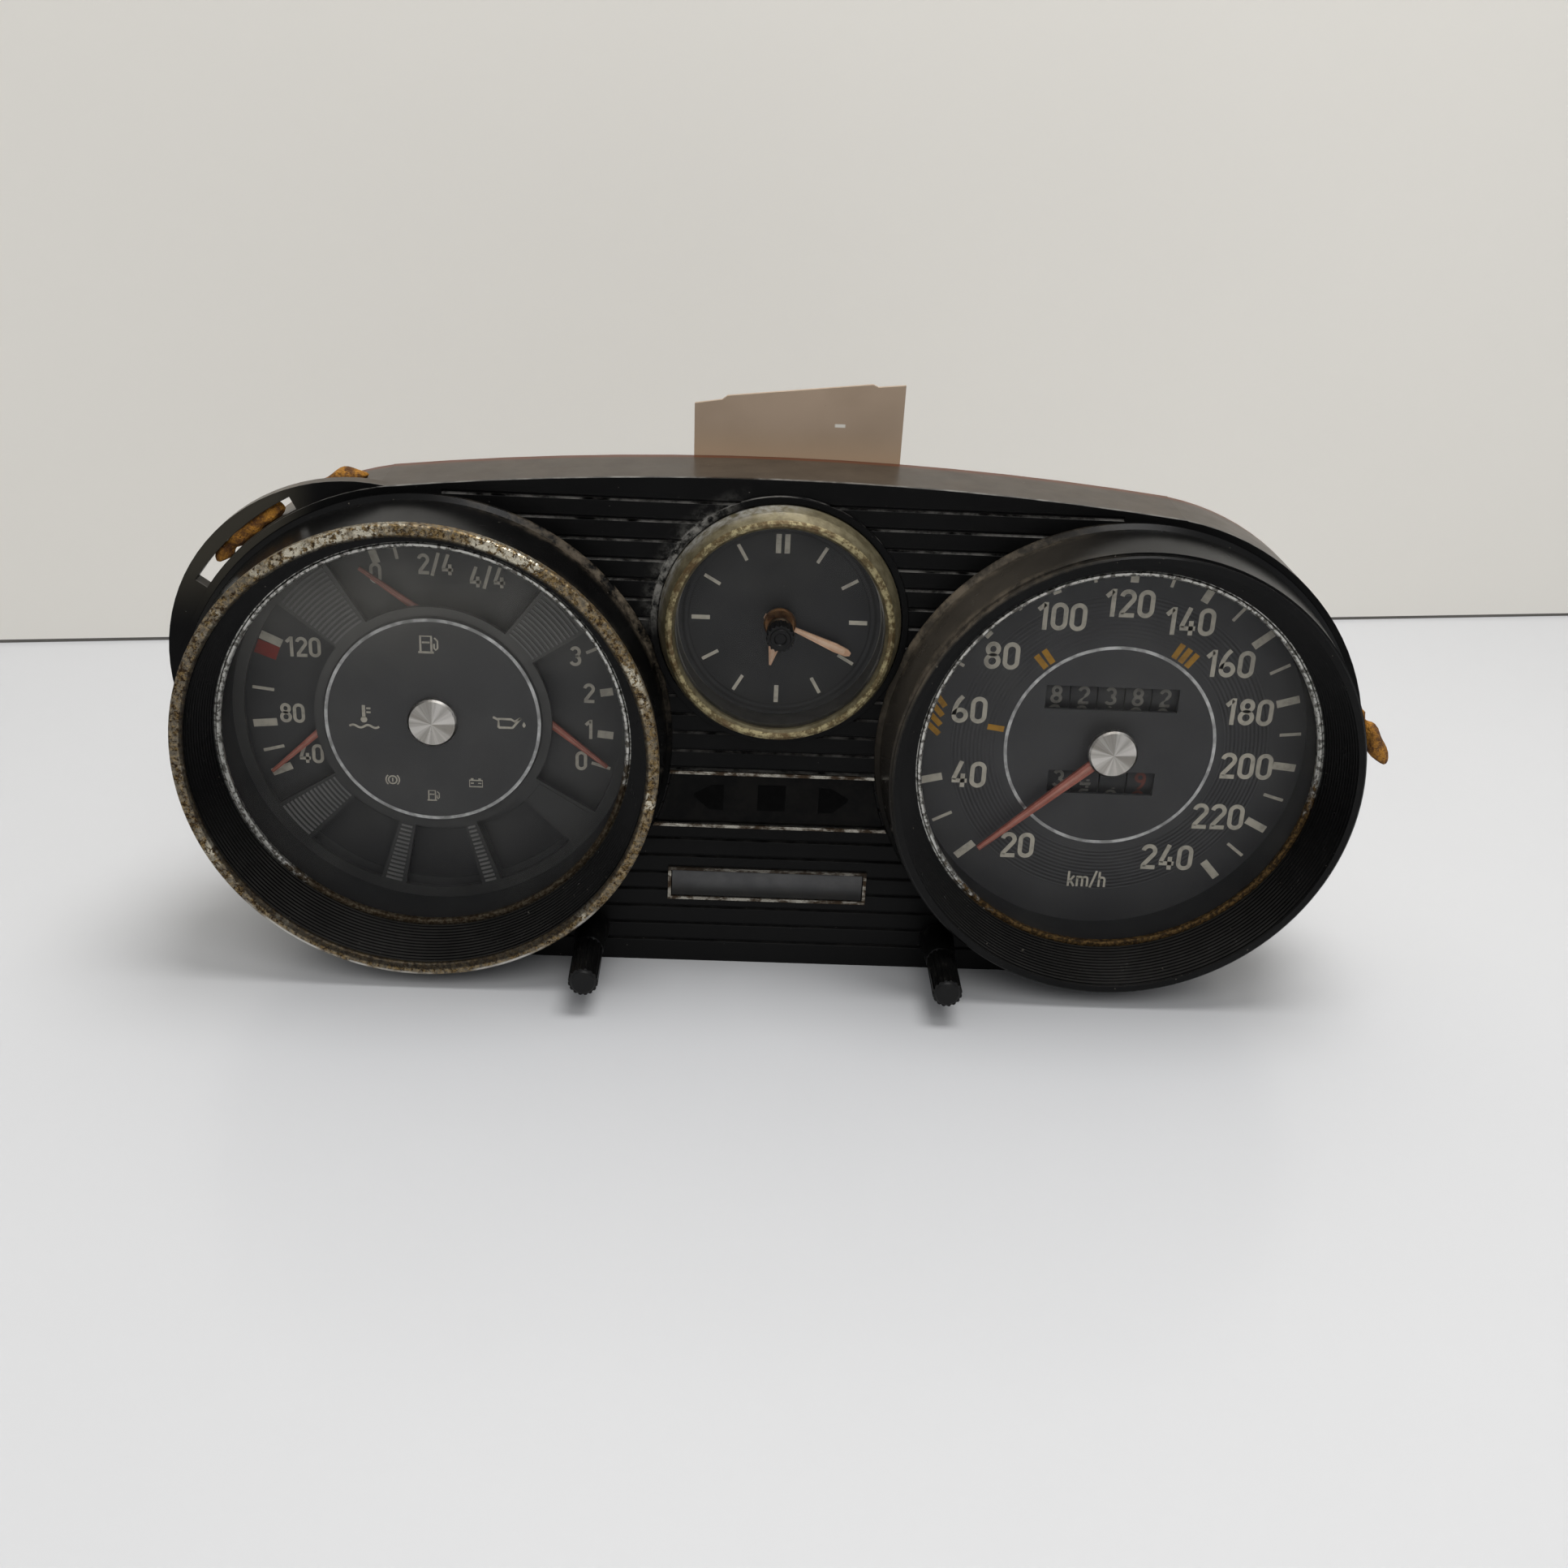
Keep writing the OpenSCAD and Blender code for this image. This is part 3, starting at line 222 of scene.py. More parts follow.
def shell_look():
    """Black shell: dust with painted highlight on its ribs, painted reflection on its top, powder beside the
    clock, painted sheen on its foot, paler ear, brown rear edge.
    """
    look = Look("shell_black", Specular_IOR_Level=0.1)
    look.soften(0.3)
    tone = look.mix((3, 3, 3), (7, 7, 7), look.patches(20, 0.35, 0.7))
    up = look.band(look.facing("Z"), 0.25, 0.8)
    # Dust with painted highlight on the up-facing rib ledges: the higher they sit, the lighter they are.
    ribs = look.times(up, look.along("Y", -6.2, -7), look.blend(look.along("Z", 30, 85), 0.05, 0.75))
    tone = dusty(look, tone, (126, 124, 120), ribs, 7)
    # Painted reflection: the up-facing top is tinted brown-grey, as if it mirrored the brown bracket and the
    # pale wall.
    top = look.times(up, look.along("Z", 85, 115), look.along("Y", -7.5, -6))
    tone = look.mix(tone, (124, 110, 94), top, look.blend(look.noise(9, 5, 0.65), 0.12, 0.4))
    rise = look.axis("Z", CLOCK[1])
    beside = look.band(look.less(look.times(rise, 0.6), look.axis("X")), 0.026, 0.034)
    collar = look.times(look.around(CLOCK, 31.4, 31), 0.55)
    halo = look.plus(look.times(look.around(CLOCK, 35, 31), 0.2), collar)
    tone = dusty(look, tone, (150, 148, 142), look.times(halo, beside), 2.5)
    # Painted sheen: the lowest part of the shell is lightened towards grey.
    tone = look.mix(tone, (34, 34, 34), look.along("Z", 40, 18), 0.3)
    tone = look.mix(tone, (118, 112, 98), look.along("X", -108, -120), look.along("Z", 85, 105), 0.24)
    tone = look.mix(tone, (92, 52, 33), look.along("Y", 12.2, 13), look.along("Z", 90, 110), 0.9)
    look.color(tone, (150, 146, 138), look.specks(), 0.4)
    look.rough(look.noise(7, 4, 0.6), 0.24, 0.4)
    look.bump(look.noise(5, 3), 0.06, 0.1)
    return look


def barrel_look(name, centre, bare_lip):
    """Black barrel, worn on the side of the clock, with dust and painted highlight on the up-facing steps of
    its throat.
    """
    look = Look(name, Specular_IOR_Level=0.15)
    look.soften(0.12)
    tone = look.mix((6, 6, 6), (13, 13, 13), look.patches(18, 0.35, 0.7))
    outside = look.around(centre, 56.2, 57.2)
    inward = look.band(look.times(look.axis("X"), -1 if centre[0] > 0 else 1), -0.085, -0.035)
    side = look.times(outside, inward)
    if bare_lip:
        rubbed = look.times(side, look.along("Z", 30, 85), look.blend(look.noise(9, 4), 0.15, 0.45))
        tone = look.mix(tone, (104, 97, 87), rubbed)
    foot = look.times(look.along("Y", -13.5, -8.5), 0.9)
    brim = look.times(look.along("Y", -21.8, -24.2), 0.6 if bare_lip else 0.1)
    worn = look.times(side, look.plus(foot, brim), look.along("Z", 55, 95))
    tone = dusty(look, tone, (108, 98, 84), worn, 4)
    # Dust and painted highlight: the up-facing steps inside the throat are lightened.
    throat = look.times(look.around(centre, 55.5, 54.5), look.band(look.facing("Z"), 0.1, 0.8),
                        look.blend(look.noise(6, 4), 0.06, 0.26))
    tone = look.mix(tone, (106, 104, 100), throat)
    look.color(tone, (140, 134, 122), look.specks(), 0.35)
    look.rough(look.noise(6, 4, 0.6), 0.18, 0.32)
    look.bump(look.noise(4, 3), 0.06, 0.1)
    return look


def rim_look():
    """Pitted brown chrome with more bright patches toward its top, painted shade on its left side and along
    its inner edge, and a painted highlight along its foot.
    """
    look = Look("rim_pitted", Metallic=0.8)
    left = look.along("X", -105, -138)
    low = look.along("Z", 35, 12)
    # Painted shade: the left side is made darker and browner.
    brown = look.less(look.noise(1, 6, 0.8), look.times(left, 0.03))
    tone = look.mix((44, 30, 16), (138, 116, 77), look.band(brown, 0.43, 0.6))
    # More bright patches toward the top, and fewer on the left side as painted shade.
    patch = look.plus(look.noise(11, 5, 0.65), look.times(look.along("Z", 95, 118), 0.1))
    patch = look.band(look.less(patch, look.times(left, 0.05)), 0.55, 0.67)
    bright = look.times(look.blend(patch, 0.2, 1), look.patches(1.1, 0.44, 0.54, 4, 0.7))
    tone = look.mix(tone, (198, 191, 172), bright)
    # Painted highlight: a bright line along the outer edge of the rim's lower part.
    edge = look.around(LEFT, 56.6, 57.1)
    tone = look.mix(tone, (212, 210, 203), edge, look.patches(14, 0.42, 0.58), low)
    # Painted shade along the inner edge, wider towards the bottom.
    inner_shade = look.band(look.radius(LEFT), look.blend(low, 0.0553, 0.0563), look.blend(low, 0.0549, 0.0557))
    look.color(tone, (34, 30, 25), inner_shade, 0.8)
    look.rough(bright, 0.55, 0.22)
    look.bump(look.plus(look.cells(0.9), look.noise(1.2, 4, 0.7)), 0.6, 0.2)
    return look


def bezel_look():
    """Dull clock bezel: greenish grey cone, golden lip, white dust at its upper left."""
    look = Look("bezel_dull", Metallic=0.6)
    look.soften(0.3)
    cone = look.mix((98, 90, 68), (126, 118, 93), look.patches(3, 0.36, 0.64, 6, 0.72))
    lip = look.mix((92, 79, 52), (162, 151, 114), look.patches(1.2, 0.42, 0.6, 4, 0.7))
    lip = look.mix(lip, (84, 64, 38), look.patches(7, 0.47, 0.62, 5, 0.7), 0.8)
    tone = look.mix(cone, lip, look.along("Y", -15.6, -16.1))
    rise = look.axis("Z", CLOCK[1])
    corner = look.band(look.less(rise, look.axis("X")), 0.019, 0.036)
    powder = look.patches(3.2, 0.36, 0.62, 5, 0.7)
    look.color(tone, (194, 192, 186), corner, look.along("Y", -15, -10.5), powder, 0.85)
    look.rough(look.noise(2, 4), 0.35, 0.55)
    look.bump(look.noise(1.4, 4, 0.7), 0.3, 0.1)
    return look


def ring_look(name, centre, crust):
    """Bright glass ring with dark chips, browned at its lower right."""
    look = Look(name, Metallic=0.85)
    right, up = look.axis("X", centre[0]), look.axis("Z", centre[1])
    corner = look.band(look.less(look.times(right, 0.35), look.times(up, 0.95)), 0.006, 0.044)
    browned = look.band(look.plus(look.noise(2.2, 5, 0.7), look.times(corner, 0.55)), 0.6, 0.8)
    chips = look.patches(1.2, 0.485, 0.55, 4, 0.7)
    tone = look.mix((198, 197, 191), (58, 54, 48), chips, 0.85)
    rust = look.mix((52, 40, 26), crust, look.patches(0.9, 0.42, 0.62, 4, 0.75))
    look.color(tone, rust, browned)
    look.rough(browned, 0.32, 0.75)
    look.bump(look.noise(1, 4, 0.75), 0.6, 0.2)
    return look


def lacquer(look, base):
    """Matt lacquer with a few specks of dust."""
    look.color(base, (150, 148, 142), look.specks(0.7, 0.77, 0.82), 0.45)
    look.rough(look.noise(9, 3), 0.46, 0.56)


def dial_look(name, dark, light):
    look = Look(name)
    lacquer(look, look.mix(dark, light, look.patches(16, 0.3, 0.7)))
    return look


def grooved(look, centre, inner, outer, pitch, strength):
    """Adds fine turned grooves between two radii."""
    zone = look.times(look.around(centre, inner, inner + 0.6), look.around(centre, outer, outer - 0.6))
    look.bump(look.times(look.rings(centre, pitch), zone), strength, 0.06)
    return look


def mask_look():
    """Gauge mask, paler towards its top as painted light falling from above."""
    look = Look("mask_grey")
    uneven = look.patches(16, 0.3, 0.7)
    pale = look.mix((76, 75, 73), (86, 85, 82), uneven)
    dark = look.mix((46, 46, 45), (55, 55, 54), uneven)
    # Painted light: the mask is paler where it is higher.
    lacquer(look, look.mix(dark, pale, look.along("Z", 40, 88)))
    look.bump(look.noise(1, 3), 0.06, 0.05)
    return look


def cap_look(name, centre):
    """Turned aluminium cap with fine concentric cuts, and lighter and darker sectors painted as sheen."""
    look = Look(name, Metallic=1, Anisotropic=0.85)
    angle = look.calc("ARCTAN2", look.axis("Z", centre[1]), look.axis("X", centre[0]))
    values = {"W": angle, "Scale": 1.3, "Detail": 3}
    # Painted sheen: lighter and darker sectors around the axis.
    sectors = look.add("TexNoise", values, noise_dimensions="1D").outputs["Fac"]
    look.color((168, 163, 155), (236, 232, 226), look.band(sectors, 0.36, 0.66))
    look.rough(look.noise(3, 3), 0.24, 0.34)
    tangent = look.add("Tangent", direction_type="RADIAL", axis="Y").outputs[0]
    look.feed(look.shader.inputs["Tangent"], tangent)
    look.bump(look.rings(centre, 0.16), 0.12, 0.01)
    return look


def glass_look():
    """Clear pane with a thin uneven film of dust, clouded at the top of the left one."""
    look = Look("glass_pane", Roughness=0.08, IOR=1.5, Specular_IOR_Level=0.3)
    film = look.patches(22, 0.3, 0.75, 5, 0.6)
    specks = look.specks(0.8, 0.77, 0.82)
    cloud = look.times(look.along("Z", 72, 100), look.along("X", -30, -40))
    haze = look.mix(look.mix((58, 58, 60), (80, 79, 76), film), (122, 120, 114), cloud)
    look.color(haze, (170, 168, 162), specks)
    veil = look.plus(look.blend(film, 0.06, 0.14), look.times(specks, 0.2),
                     look.times(cloud, look.blend(film, 0.04, 0.14)))
    look.feed(look.shader.inputs["Alpha"], veil)
    return look


SCRATCH = (13.1, 136.2)


def bracket_look():
    """Painted sheet, lightened towards the shell as painted light against the shade there, with a little rust
    and one short scratch.
    """
    look = Look("bracket_sheet")
    tone = look.mix((158, 138, 117), (172, 151, 130), look.patches(24, 0.3, 0.7, 3, 0.5))
    tone = look.mix(tone, (112, 90, 70), look.patches(2.5, 0.66, 0.76, 5, 0.7), 0.25)
    # Painted light: lighter near the shell, where shade falls on it.
    tone = look.mix(tone, (184, 159, 131), look.along("Z", 137, 125.5))
    across = look.calc("ABSOLUTE", look.axis("X", SCRATCH[0]))
    upward = look.calc("ABSOLUTE", look.axis("Z", SCRATCH[1]))
    scratch = look.times(look.band(across, 0.0015, 0.001), look.band(upward, 0.0005, 0.0003))
    look.color(tone, (226, 222, 212), scratch)
    look.rough(look.noise(4, 4, 0.6), 0.45, 0.6)
    look.bump(look.noise(1.6, 4, 0.65), 0.08, 0.05)
    return look


def board_look():
    """Brown fibre board of the back."""
    look = Look("board_brown", Specular_IOR_Level=0.25)
    fibres = look.noise(2, 5, 0.7, (0.25, 1, 1))
    tone = look.mix((58, 34, 22), (82, 50, 33), look.band(fibres, 0.32, 0.7))
    look.color(tone, (40, 27, 20), look.patches(26, 0.48, 0.75, 5, 0.65), 0.6)
    look.rough(look.noise(5, 4), 0.45, 0.65)
    look.bump(fibres, 0.12, 0.08)
    return look


def can_look(name, centre):
    """Plated can with fine turning marks and dull stains."""
    look = Look(name, Metallic=1)
    tone = look.mix((142, 139, 131), (154, 152, 145), look.patches(3.5, 0.36, 0.68, 7, 0.75))
    look.color(tone, (118, 110, 96), look.patches(30, 0.5, 0.75, 5, 0.6), 0.2)
    look.rough(look.noise(12, 5, 0.6), 0.32, 0.44)
    look.bump(look.rings(centre, 0.55), 0.12, 0.02)
    return look


def foam_look():
    """Crumbling brown foam."""
    look = Look("old_foam", Roughness=0.9)
    tone = look.mix((84, 50, 16), (172, 118, 34), look.patches(2.4, 0.35, 0.65, 5, 0.7))
    look.color(tone, (56, 30, 12), look.patches(1, 0.55, 0.68, 4, 0.7), 0.7)
    look.bump(look.less(look.noise(0.9, 4, 0.7), look.cells(0.5)), 0.9, 0.3)
    return look


def lens_look():
    """Smoked lens of the indicator strip."""
    look = Look("lens_smoked", Roughness=0.3, Specular_IOR_Level=0.07)
    tone = look.mix((3, 3, 3), (6, 6, 6), look.patches(10, 0.35, 0.7))
    look.color(tone, (70, 64, 56), look.patches(5, 0.38, 0.66, 5, 0.7), 0.05)
    look.bump(look.noise(4, 3), 0.06, 0.05)
    return look


def window_look():
    """Grey pane of the lower window, dark at its foot."""
    look = Look("window_grey", Roughness=0.3, Specular_IOR_Level=0.15)
    tone = look.mix((74, 74, 75), (86, 86, 86), look.patches(8, 0.35, 0.7))
    tone = look.mix(tone, (20, 19, 17), look.along("Z", 24, 19.8), 0.9)
    streaks = look.patches(3, 0.5, 0.7, 5, 0.7, (0.35, 1, 1))
    look.color(tone, (60, 56, 50), streaks, 0.18)
    look.bump(look.noise(1.2, 3), 0.08, 0.03)
    return look


def trim_look():
    """Worn bright trims, darker above the lower window."""
    look = Look("trim_bright", Metallic=0.9)
    worn = look.patches(2.6, 0.4, 0.58, 5, 0.72, (0.5, 1, 1))
    tone = look.mix((160, 156, 146), (66, 54, 42), worn)
    look.color(tone, (40, 36, 32), look.along("Z", 25.8, 26.2), look.along("Z", 30, 29), 0.6)
    look.rough(worn, 0.26, 0.6)
    look.bump(look.noise(0.6, 4, 0.7), 0.35, 0.06)
    return look


def knob_look():
    """Black knob with worn spots, and painted shade on its front end."""
    look = Look("knob_black", Specular_IOR_Level=0.25)
    look.soften(0.25)
    tone = look.mix((7, 7, 7), (15, 15, 14), look.patches(5, 0.35, 0.7))
    tone = look.mix(tone, (84, 80, 74), look.patches(2.5, 0.6, 0.72, 5, 0.7), 0.35)
    # Painted shade: faces turned to the front are darkened.
    look.color(tone, (4, 4, 4), look.band(look.facing("Y"), -0.5, -0.95), 0.85)
    look.rough(look.noise(4, 4), 0.25, 0.42)
    look.bump(look.noise(1.2, 4, 0.65), 0.2, 0.12)
    return look


def needle_look(name, tone, pale):
    """Painted pointer."""
    look = Look(name, Roughness=0.5)
    look.color(tone, pale, look.patches(3, 0.35, 0.7, 4, 0.6))
    look.bump(look.noise(0.3, 2), 0.1, 0.02)
    return look


LOOKS = {
    "shell": shell_look(),
    "barrel_left": barrel_look("barrel_left_black", LEFT, False),
    "barrel_right": barrel_look("barrel_right_black", RIGHT, True),
    "rim": rim_look(),
    "bezel": bezel_look(),
    "ring_left": ring_look("ring_left_bright", LEFT, (96, 88, 74)),
    "ring_right": ring_look("ring_right_bright", RIGHT, (118, 94, 58)),
    "glass": glass_look(),
    "spacer": plastic("spacer_black", (20, 20, 21), (28, 28, 29), (0.5, 0.65)),
    "board": board_look(),
    "can_left": can_look("can_left_plated", LEFT),
    "can_right": can_look("can_right_plated", RIGHT),
    "can_clock": can_look("can_clock_plated", CLOCK),
    "mask": mask_look(),
    "centre": dial_look("centre_grey", (58, 58, 58), (65, 65, 65)),
    "face": dial_look("face_grey", (52, 52, 52), (60, 60, 60)),
    "dial": grooved(dial_look("dial_grey", (49, 49, 50), (58, 58, 59)), RIGHT, 28.6, 40.5, 1, 0.9),
    "clock_dial": grooved(dial_look("clock_grey", (8, 9, 10), (13, 14, 16)), CLOCK, 21.4, 25, 1.5, 0.7),
    "cap_left": cap_look("cap_left_turned", LEFT),
    "cap_right": cap_look("cap_right_turned", RIGHT),
    "warning": plastic("lens_dark", (40, 40, 40), (48, 48, 48), (0.4, 0.55)),
    "movement": metal("movement_dull", (110, 108, 102), (142, 140, 134)),
    "brass": metal("brass_tarnished", (122, 92, 46), (186, 152, 84), (0.28, 0.5), 5),
    "steel": metal("steel_plated", (110, 110, 108), (168, 168, 165), (0.25, 0.45), 5),
    "needle": needle_look("needle_salmon", (156, 86, 70), (178, 106, 90)),
    "ridge": needle_look("needle_pale", (190, 128, 112), (206, 148, 132)),
    "drum": plastic("drum_black", (30, 30, 31), (40, 40, 41), (0.45, 0.6), 5),
    "hand": needle_look("hand_peach", (206, 162, 128), (226, 186, 154)),
    "hand_light": needle_look("hand_light_peach", (222, 184, 152), (234, 202, 174)),
    "hub": metal("hub_browned", (92, 62, 38), (142, 104, 68), (0.35, 0.6), 2),
    "spoke": plastic("spoke_grey", (102, 102, 100), (120, 119, 116), (0.45, 0.6)),
    "bush": metal("bush_dark", (38, 32, 26), (70, 60, 50), (0.35, 0.6), 3),
    "knob": knob_look(),
    "smoked": lens_look(),
    "window": window_look(),
    "trim": trim_look(),
    "ivory": plastic("ivory_moulding", (176, 170, 150), (198, 193, 175), (0.4, 0.55), 9),
    "bracket": bracket_look(),
    "cream": paint("print_cream", (204, 198, 182), (170, 165, 152)),
    "yellow": paint("print_yellow", (186, 138, 46), (146, 108, 44)),
    "red": paint("print_red", (150, 52, 42), (120, 46, 38)),
    "red_digit": paint("print_red_faded", (112, 62, 52), (86, 52, 46)),
    "grey": paint("print_grey", (128, 125, 117), (100, 98, 92)),
    "circle": metal("print_silver", (150, 150, 148), (216, 216, 214), (0.25, 0.4), 3),
    "sign": paint("sign_black", (2, 2, 2), (6, 6, 6), 0.05),
    "foam": foam_look(),
}

# CAD nodes of each look
NODE_LOOKS = {
    "shell": "housing", "board": "back_plate", "barrel_left": "left_barrel", "barrel_right": "right_barrel",
    "rim": "left_rim", "bezel": "clock_bezel",
    "ring_left": "left_glass_ring", "ring_right": "right_glass_ring",
    "glass": "left_glass right_glass clock_glass", "spacer": "left_spacer right_spacer",
    "can_left": "gauge_can", "can_right": "speedo_can", "can_clock": "clock_case",
    "mask": "gauge_mask", "centre": "gauge_centre", "face": "gauge_face",
    "dial": "speedo_dial", "clock_dial": "clock_dial", "cap_left": "gauge_cap", "cap_right": "speed_cap",
    "warning": "warning_lenses", "movement": "gauge_movements speedo_frame speed_cup",
    "brass": "gauge_terminals oil_union drive_bush",
    "steel": "plate_screws drive_shaft bracket_stud knurled_nut",
    "needle": "fuel_needle temp_needle oil_needle speed_needle",
    "drum": "odo_drum_1 odo_drum_2 odo_drum_3 odo_drum_4 odo_drum_5 "
            "trip_drum_1 trip_drum_2 trip_drum_3 trip_drum_4",
    "hand": "hour_hand minute_hand", "bush": "clock_bush", "knob": "clock_knob dimmer_knob trip_knob",
    "smoked": "indicator_lens", "window": "info_window", "trim": "centre_trims",
    "ivory": "dimmer_body lamp_holders wiring_socket", "bracket": "retaining_bracket",
}


def dress_nodes():
    for look, nodes in NODE_LOOKS.items():
        for node in nodes.split():
            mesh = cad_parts[node].data
            mesh.materials.clear()
            mesh.materials.append(LOOKS[look].material)


# Printed and raised shapes


class Sketch:
    """Collects raised shapes. A place function turns (right, up, height) into a point in millimetres."""

    def __init__(self):
        self.verts = []
        self.faces = []

    def plate(self, outline, place, top=PRINT):
        """Filled outline."""
        first, count = len(self.verts), len(outline)
        for height in (0, top):
            self.verts += [place(u, v, height) for u, v in outline]
        self.faces.append([first + i for i in range(count)])
        self.faces.append([first + count + i for i in reversed(range(count))])
        for i in range(count):
            k = (i + 1) % count
            self.faces.append([first + i, first + count + i, first + count + k, first + k])

    def stroke(self, line, width, place, closed=False, top=PRINT):
        """Ribbon along a line of points."""
        count = len(line)
        first = len(self.verts)
        for i, (u, v) in enumerate(line):
            before = line[i - 1] if closed or i else line[i]
            after = line[(i + 1) % count] if closed or i < count - 1 else line[i]
            du, dv = after[0] - before[0], after[1] - before[1]
            size = math.hypot(du, dv) or 1
            nu, nv = -dv / size * width / 2, du / size * width / 2
            for side in (1, -1):
                for height in (0, top):
                    self.verts.append(place(u + side * nu, v + side * nv, height))
        for i in range(count if closed else count - 1):
            a, b = first + 4 * i, first + 4 * ((i + 1) % count)
            self.faces += [[a + 1, b + 1, b + 3, a + 3], [a, a + 2, b + 2, b],
                           [a, b, b + 1, a + 1], [a + 2, a + 3, b + 3, b + 2]]
        if not closed:
            for a in (first, first + 4 * (count - 1)):
                self.faces.append([a, a + 1, a + 3, a + 2])

    def build(self, name):
        """Object of all shapes, with its faces turned outward."""
        mesh = bpy.data.meshes.new(name)
        mesh.from_pydata([Vector(p) * MM for p in self.verts], [], self.faces)
        shape = bmesh.new()
        shape.from_mesh(mesh)
        bmesh.ops.recalc_face_normals(shape, faces=shape.faces)
        shape.to_mesh(mesh)
        shape.free()
        return bpy.data.objects.new(name, mesh)

    def piece(self, name, look, body="cluster"):
        settle(self.build(name), look, body)


def settle(obj, look, body):
    """Links a new piece, gives it its look and lets it ride on a body."""
    bpy.context.scene.collection.objects.link(obj)
    obj.data.materials.append(LOOKS[look].material)
    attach(obj, body)


def facing_front(centre, depth):
    """Place function of a flat face that looks to the front."""
    return lambda u, v, h: (centre[0] + u, depth - h, centre[1] + v)


def on_drum(x, axis_z, turn):
    """Place function on the rim of a counter drum, turned by an angle from its front."""
    def place(u, v, h):
        angle = turn + v / DRUM_R
        reach = DRUM_R + h
        return (x + u, DRUM_Y - reach * math.cos(angle), axis_z + reach * math.sin(angle))
    return place


def around_axis(centre, radius, angle, depth):
    """Point around an axis along Y, at an angle in radians from the right."""
    return (centre[0] + radius * math.cos(angle), depth, centre[1] + radius * math.sin(angle))


def polar(radius, degrees):
    """Point of a dial at an angle counted clockwise from the top."""
    a = math.radians(degrees)
    return radius * math.sin(a), radius * math.cos(a)


def arc(cx, cy, rx, ry, start, end, steps=12):
    angles = [math.radians(start + (end - start) * i / steps) for i in range(steps + 1)]
    return [(cx + rx * math.cos(a), cy + ry * math.sin(a)) for a in angles]


def loop(cx, cy, rx, ry, steps=22):
    return arc(cx, cy, rx, ry, 0, 360, steps)[:-1]


SIX_BOWL = loop(0.28, 0.285, 0.205, 0.21)
SIX_STEM = [(0.075, 0.3), (0.078, 0.42), (0.105, 0.57), (0.165, 0.74), (0.245, 0.88), (0.345, 1)]
# Lines and closed loops of each sign in a cell of height 1, and its width
SIGNS = {
    "0": ([], [arc(0.28, 0.72, 0.205, 0.205, 0, 180) + arc(0.28, 0.28, 0.205, 0.205, 180, 360)], 0.56),
    "1": ([[(0.3, 0), (0.3, 1)], [(0.06, 0.72), (0.27, 0.93)]], [], 0.42),
    "2": ([arc(0.28, 0.72, 0.205, 0.205, 172, -32) + [(0.1, 0.13)],
           [(0.04, 0.075), (0.54, 0.075)]], [], 0.56),
    "3": ([arc(0.26, 0.72, 0.19, 0.205, 158, -84), arc(0.26, 0.29, 0.215, 0.215, 84, -158)], [], 0.54),
    "4": ([[(0.34, 1), (0.09, 0.29)], [(0.04, 0.25), (0.56, 0.25)], [(0.41, 0.52), (0.41, 0)]], [], 0.58),
    "5": ([[(0.49, 0.925), (0.1, 0.925)], [(0.135, 0.93), (0.115, 0.52)],
           arc(0.27, 0.32, 0.21, 0.245, 138, -155)], [], 0.56),
    "6": ([SIX_STEM], [SIX_BOWL], 0.56),
    "7": ([[(0.04, 0.925), (0.5, 0.925)], [(0.47, 0.9), (0.19, 0)]], [], 0.54),
    "8": ([], [loop(0.28, 0.73, 0.18, 0.195), loop(0.28, 0.29, 0.205, 0.215)], 0.56),
    "9": ([[(0.56 - u, 1 - v) for u, v in SIX_STEM]], [[(0.56 - u, 1 - v) for u, v in SIX_BOWL]], 0.56),
    "/": ([[(0.04, -0.06), (0.36, 1.06)]], [], 0.4),
    "k": ([[(0.09, 0), (0.09, 1)], [(0.12, 0.27), (0.42, 0.7)], [(0.21, 0.4), (0.44, 0)]], [], 0.48),
    "m": ([[(0.08, 0), (0.08, 0.7)], arc(0.235, 0.48, 0.155, 0.16, 170, 0) + [(0.39, 0)],
           arc(0.545, 0.48, 0.155, 0.16, 170, 0) + [(0.7, 0)]], [], 0.78),
    "h": ([[(0.09, 0), (0.09, 1)], arc(0.26, 0.46, 0.17, 0.18, 170, 0) + [(0.43, 0)]], [], 0.52),
}
SIGN_GAP = 0.07
SIGN_STROKE = 0.158


def write(sketch, text, centre, height, place, squeeze=1, stroke=SIGN_STROKE):
    """Draws signs side by side around a centre."""
    width = sum(SIGNS[c][2] for c in text) + SIGN_GAP * (len(text) - 1)
    u0 = centre[0] - squeeze * width * height / 2
    v0 = centre[1] - height / 2
    for c in text:
        lines, loops, advance = SIGNS[c]
        for line in lines + loops:
            points = [(u0 + squeeze * u * height, v0 + v * height) for u, v in line]
            sketch.stroke(points, stroke * height, place, line in loops)
        u0 += squeeze * (advance + SIGN_GAP) * height


def bar(sketch, radius, degrees, length, width, place, slant=0):
    """Straight mark along a radius, leaning by slant degrees."""
    u, v = polar(radius, degrees)
    du, dv = polar(length / 2, degrees + slant)
    sketch.stroke([(u - du, v - dv), (u + du, v + dv)], width, place)


CIRCLE_RADIUS, CIRCLE_WIDTH = 26.45, 0.8


def circle(name, centre, depth):
    """Bright circle printed on a dial."""
    sketch = Sketch()
    line = loop(0, 0, CIRCLE_RADIUS, CIRCLE_RADIUS, 160)
    sketch.stroke(line, CIRCLE_WIDTH, facing_front(centre, depth), True, 2 * PRINT)
    sketch.piece(name, "circle", "cluster")


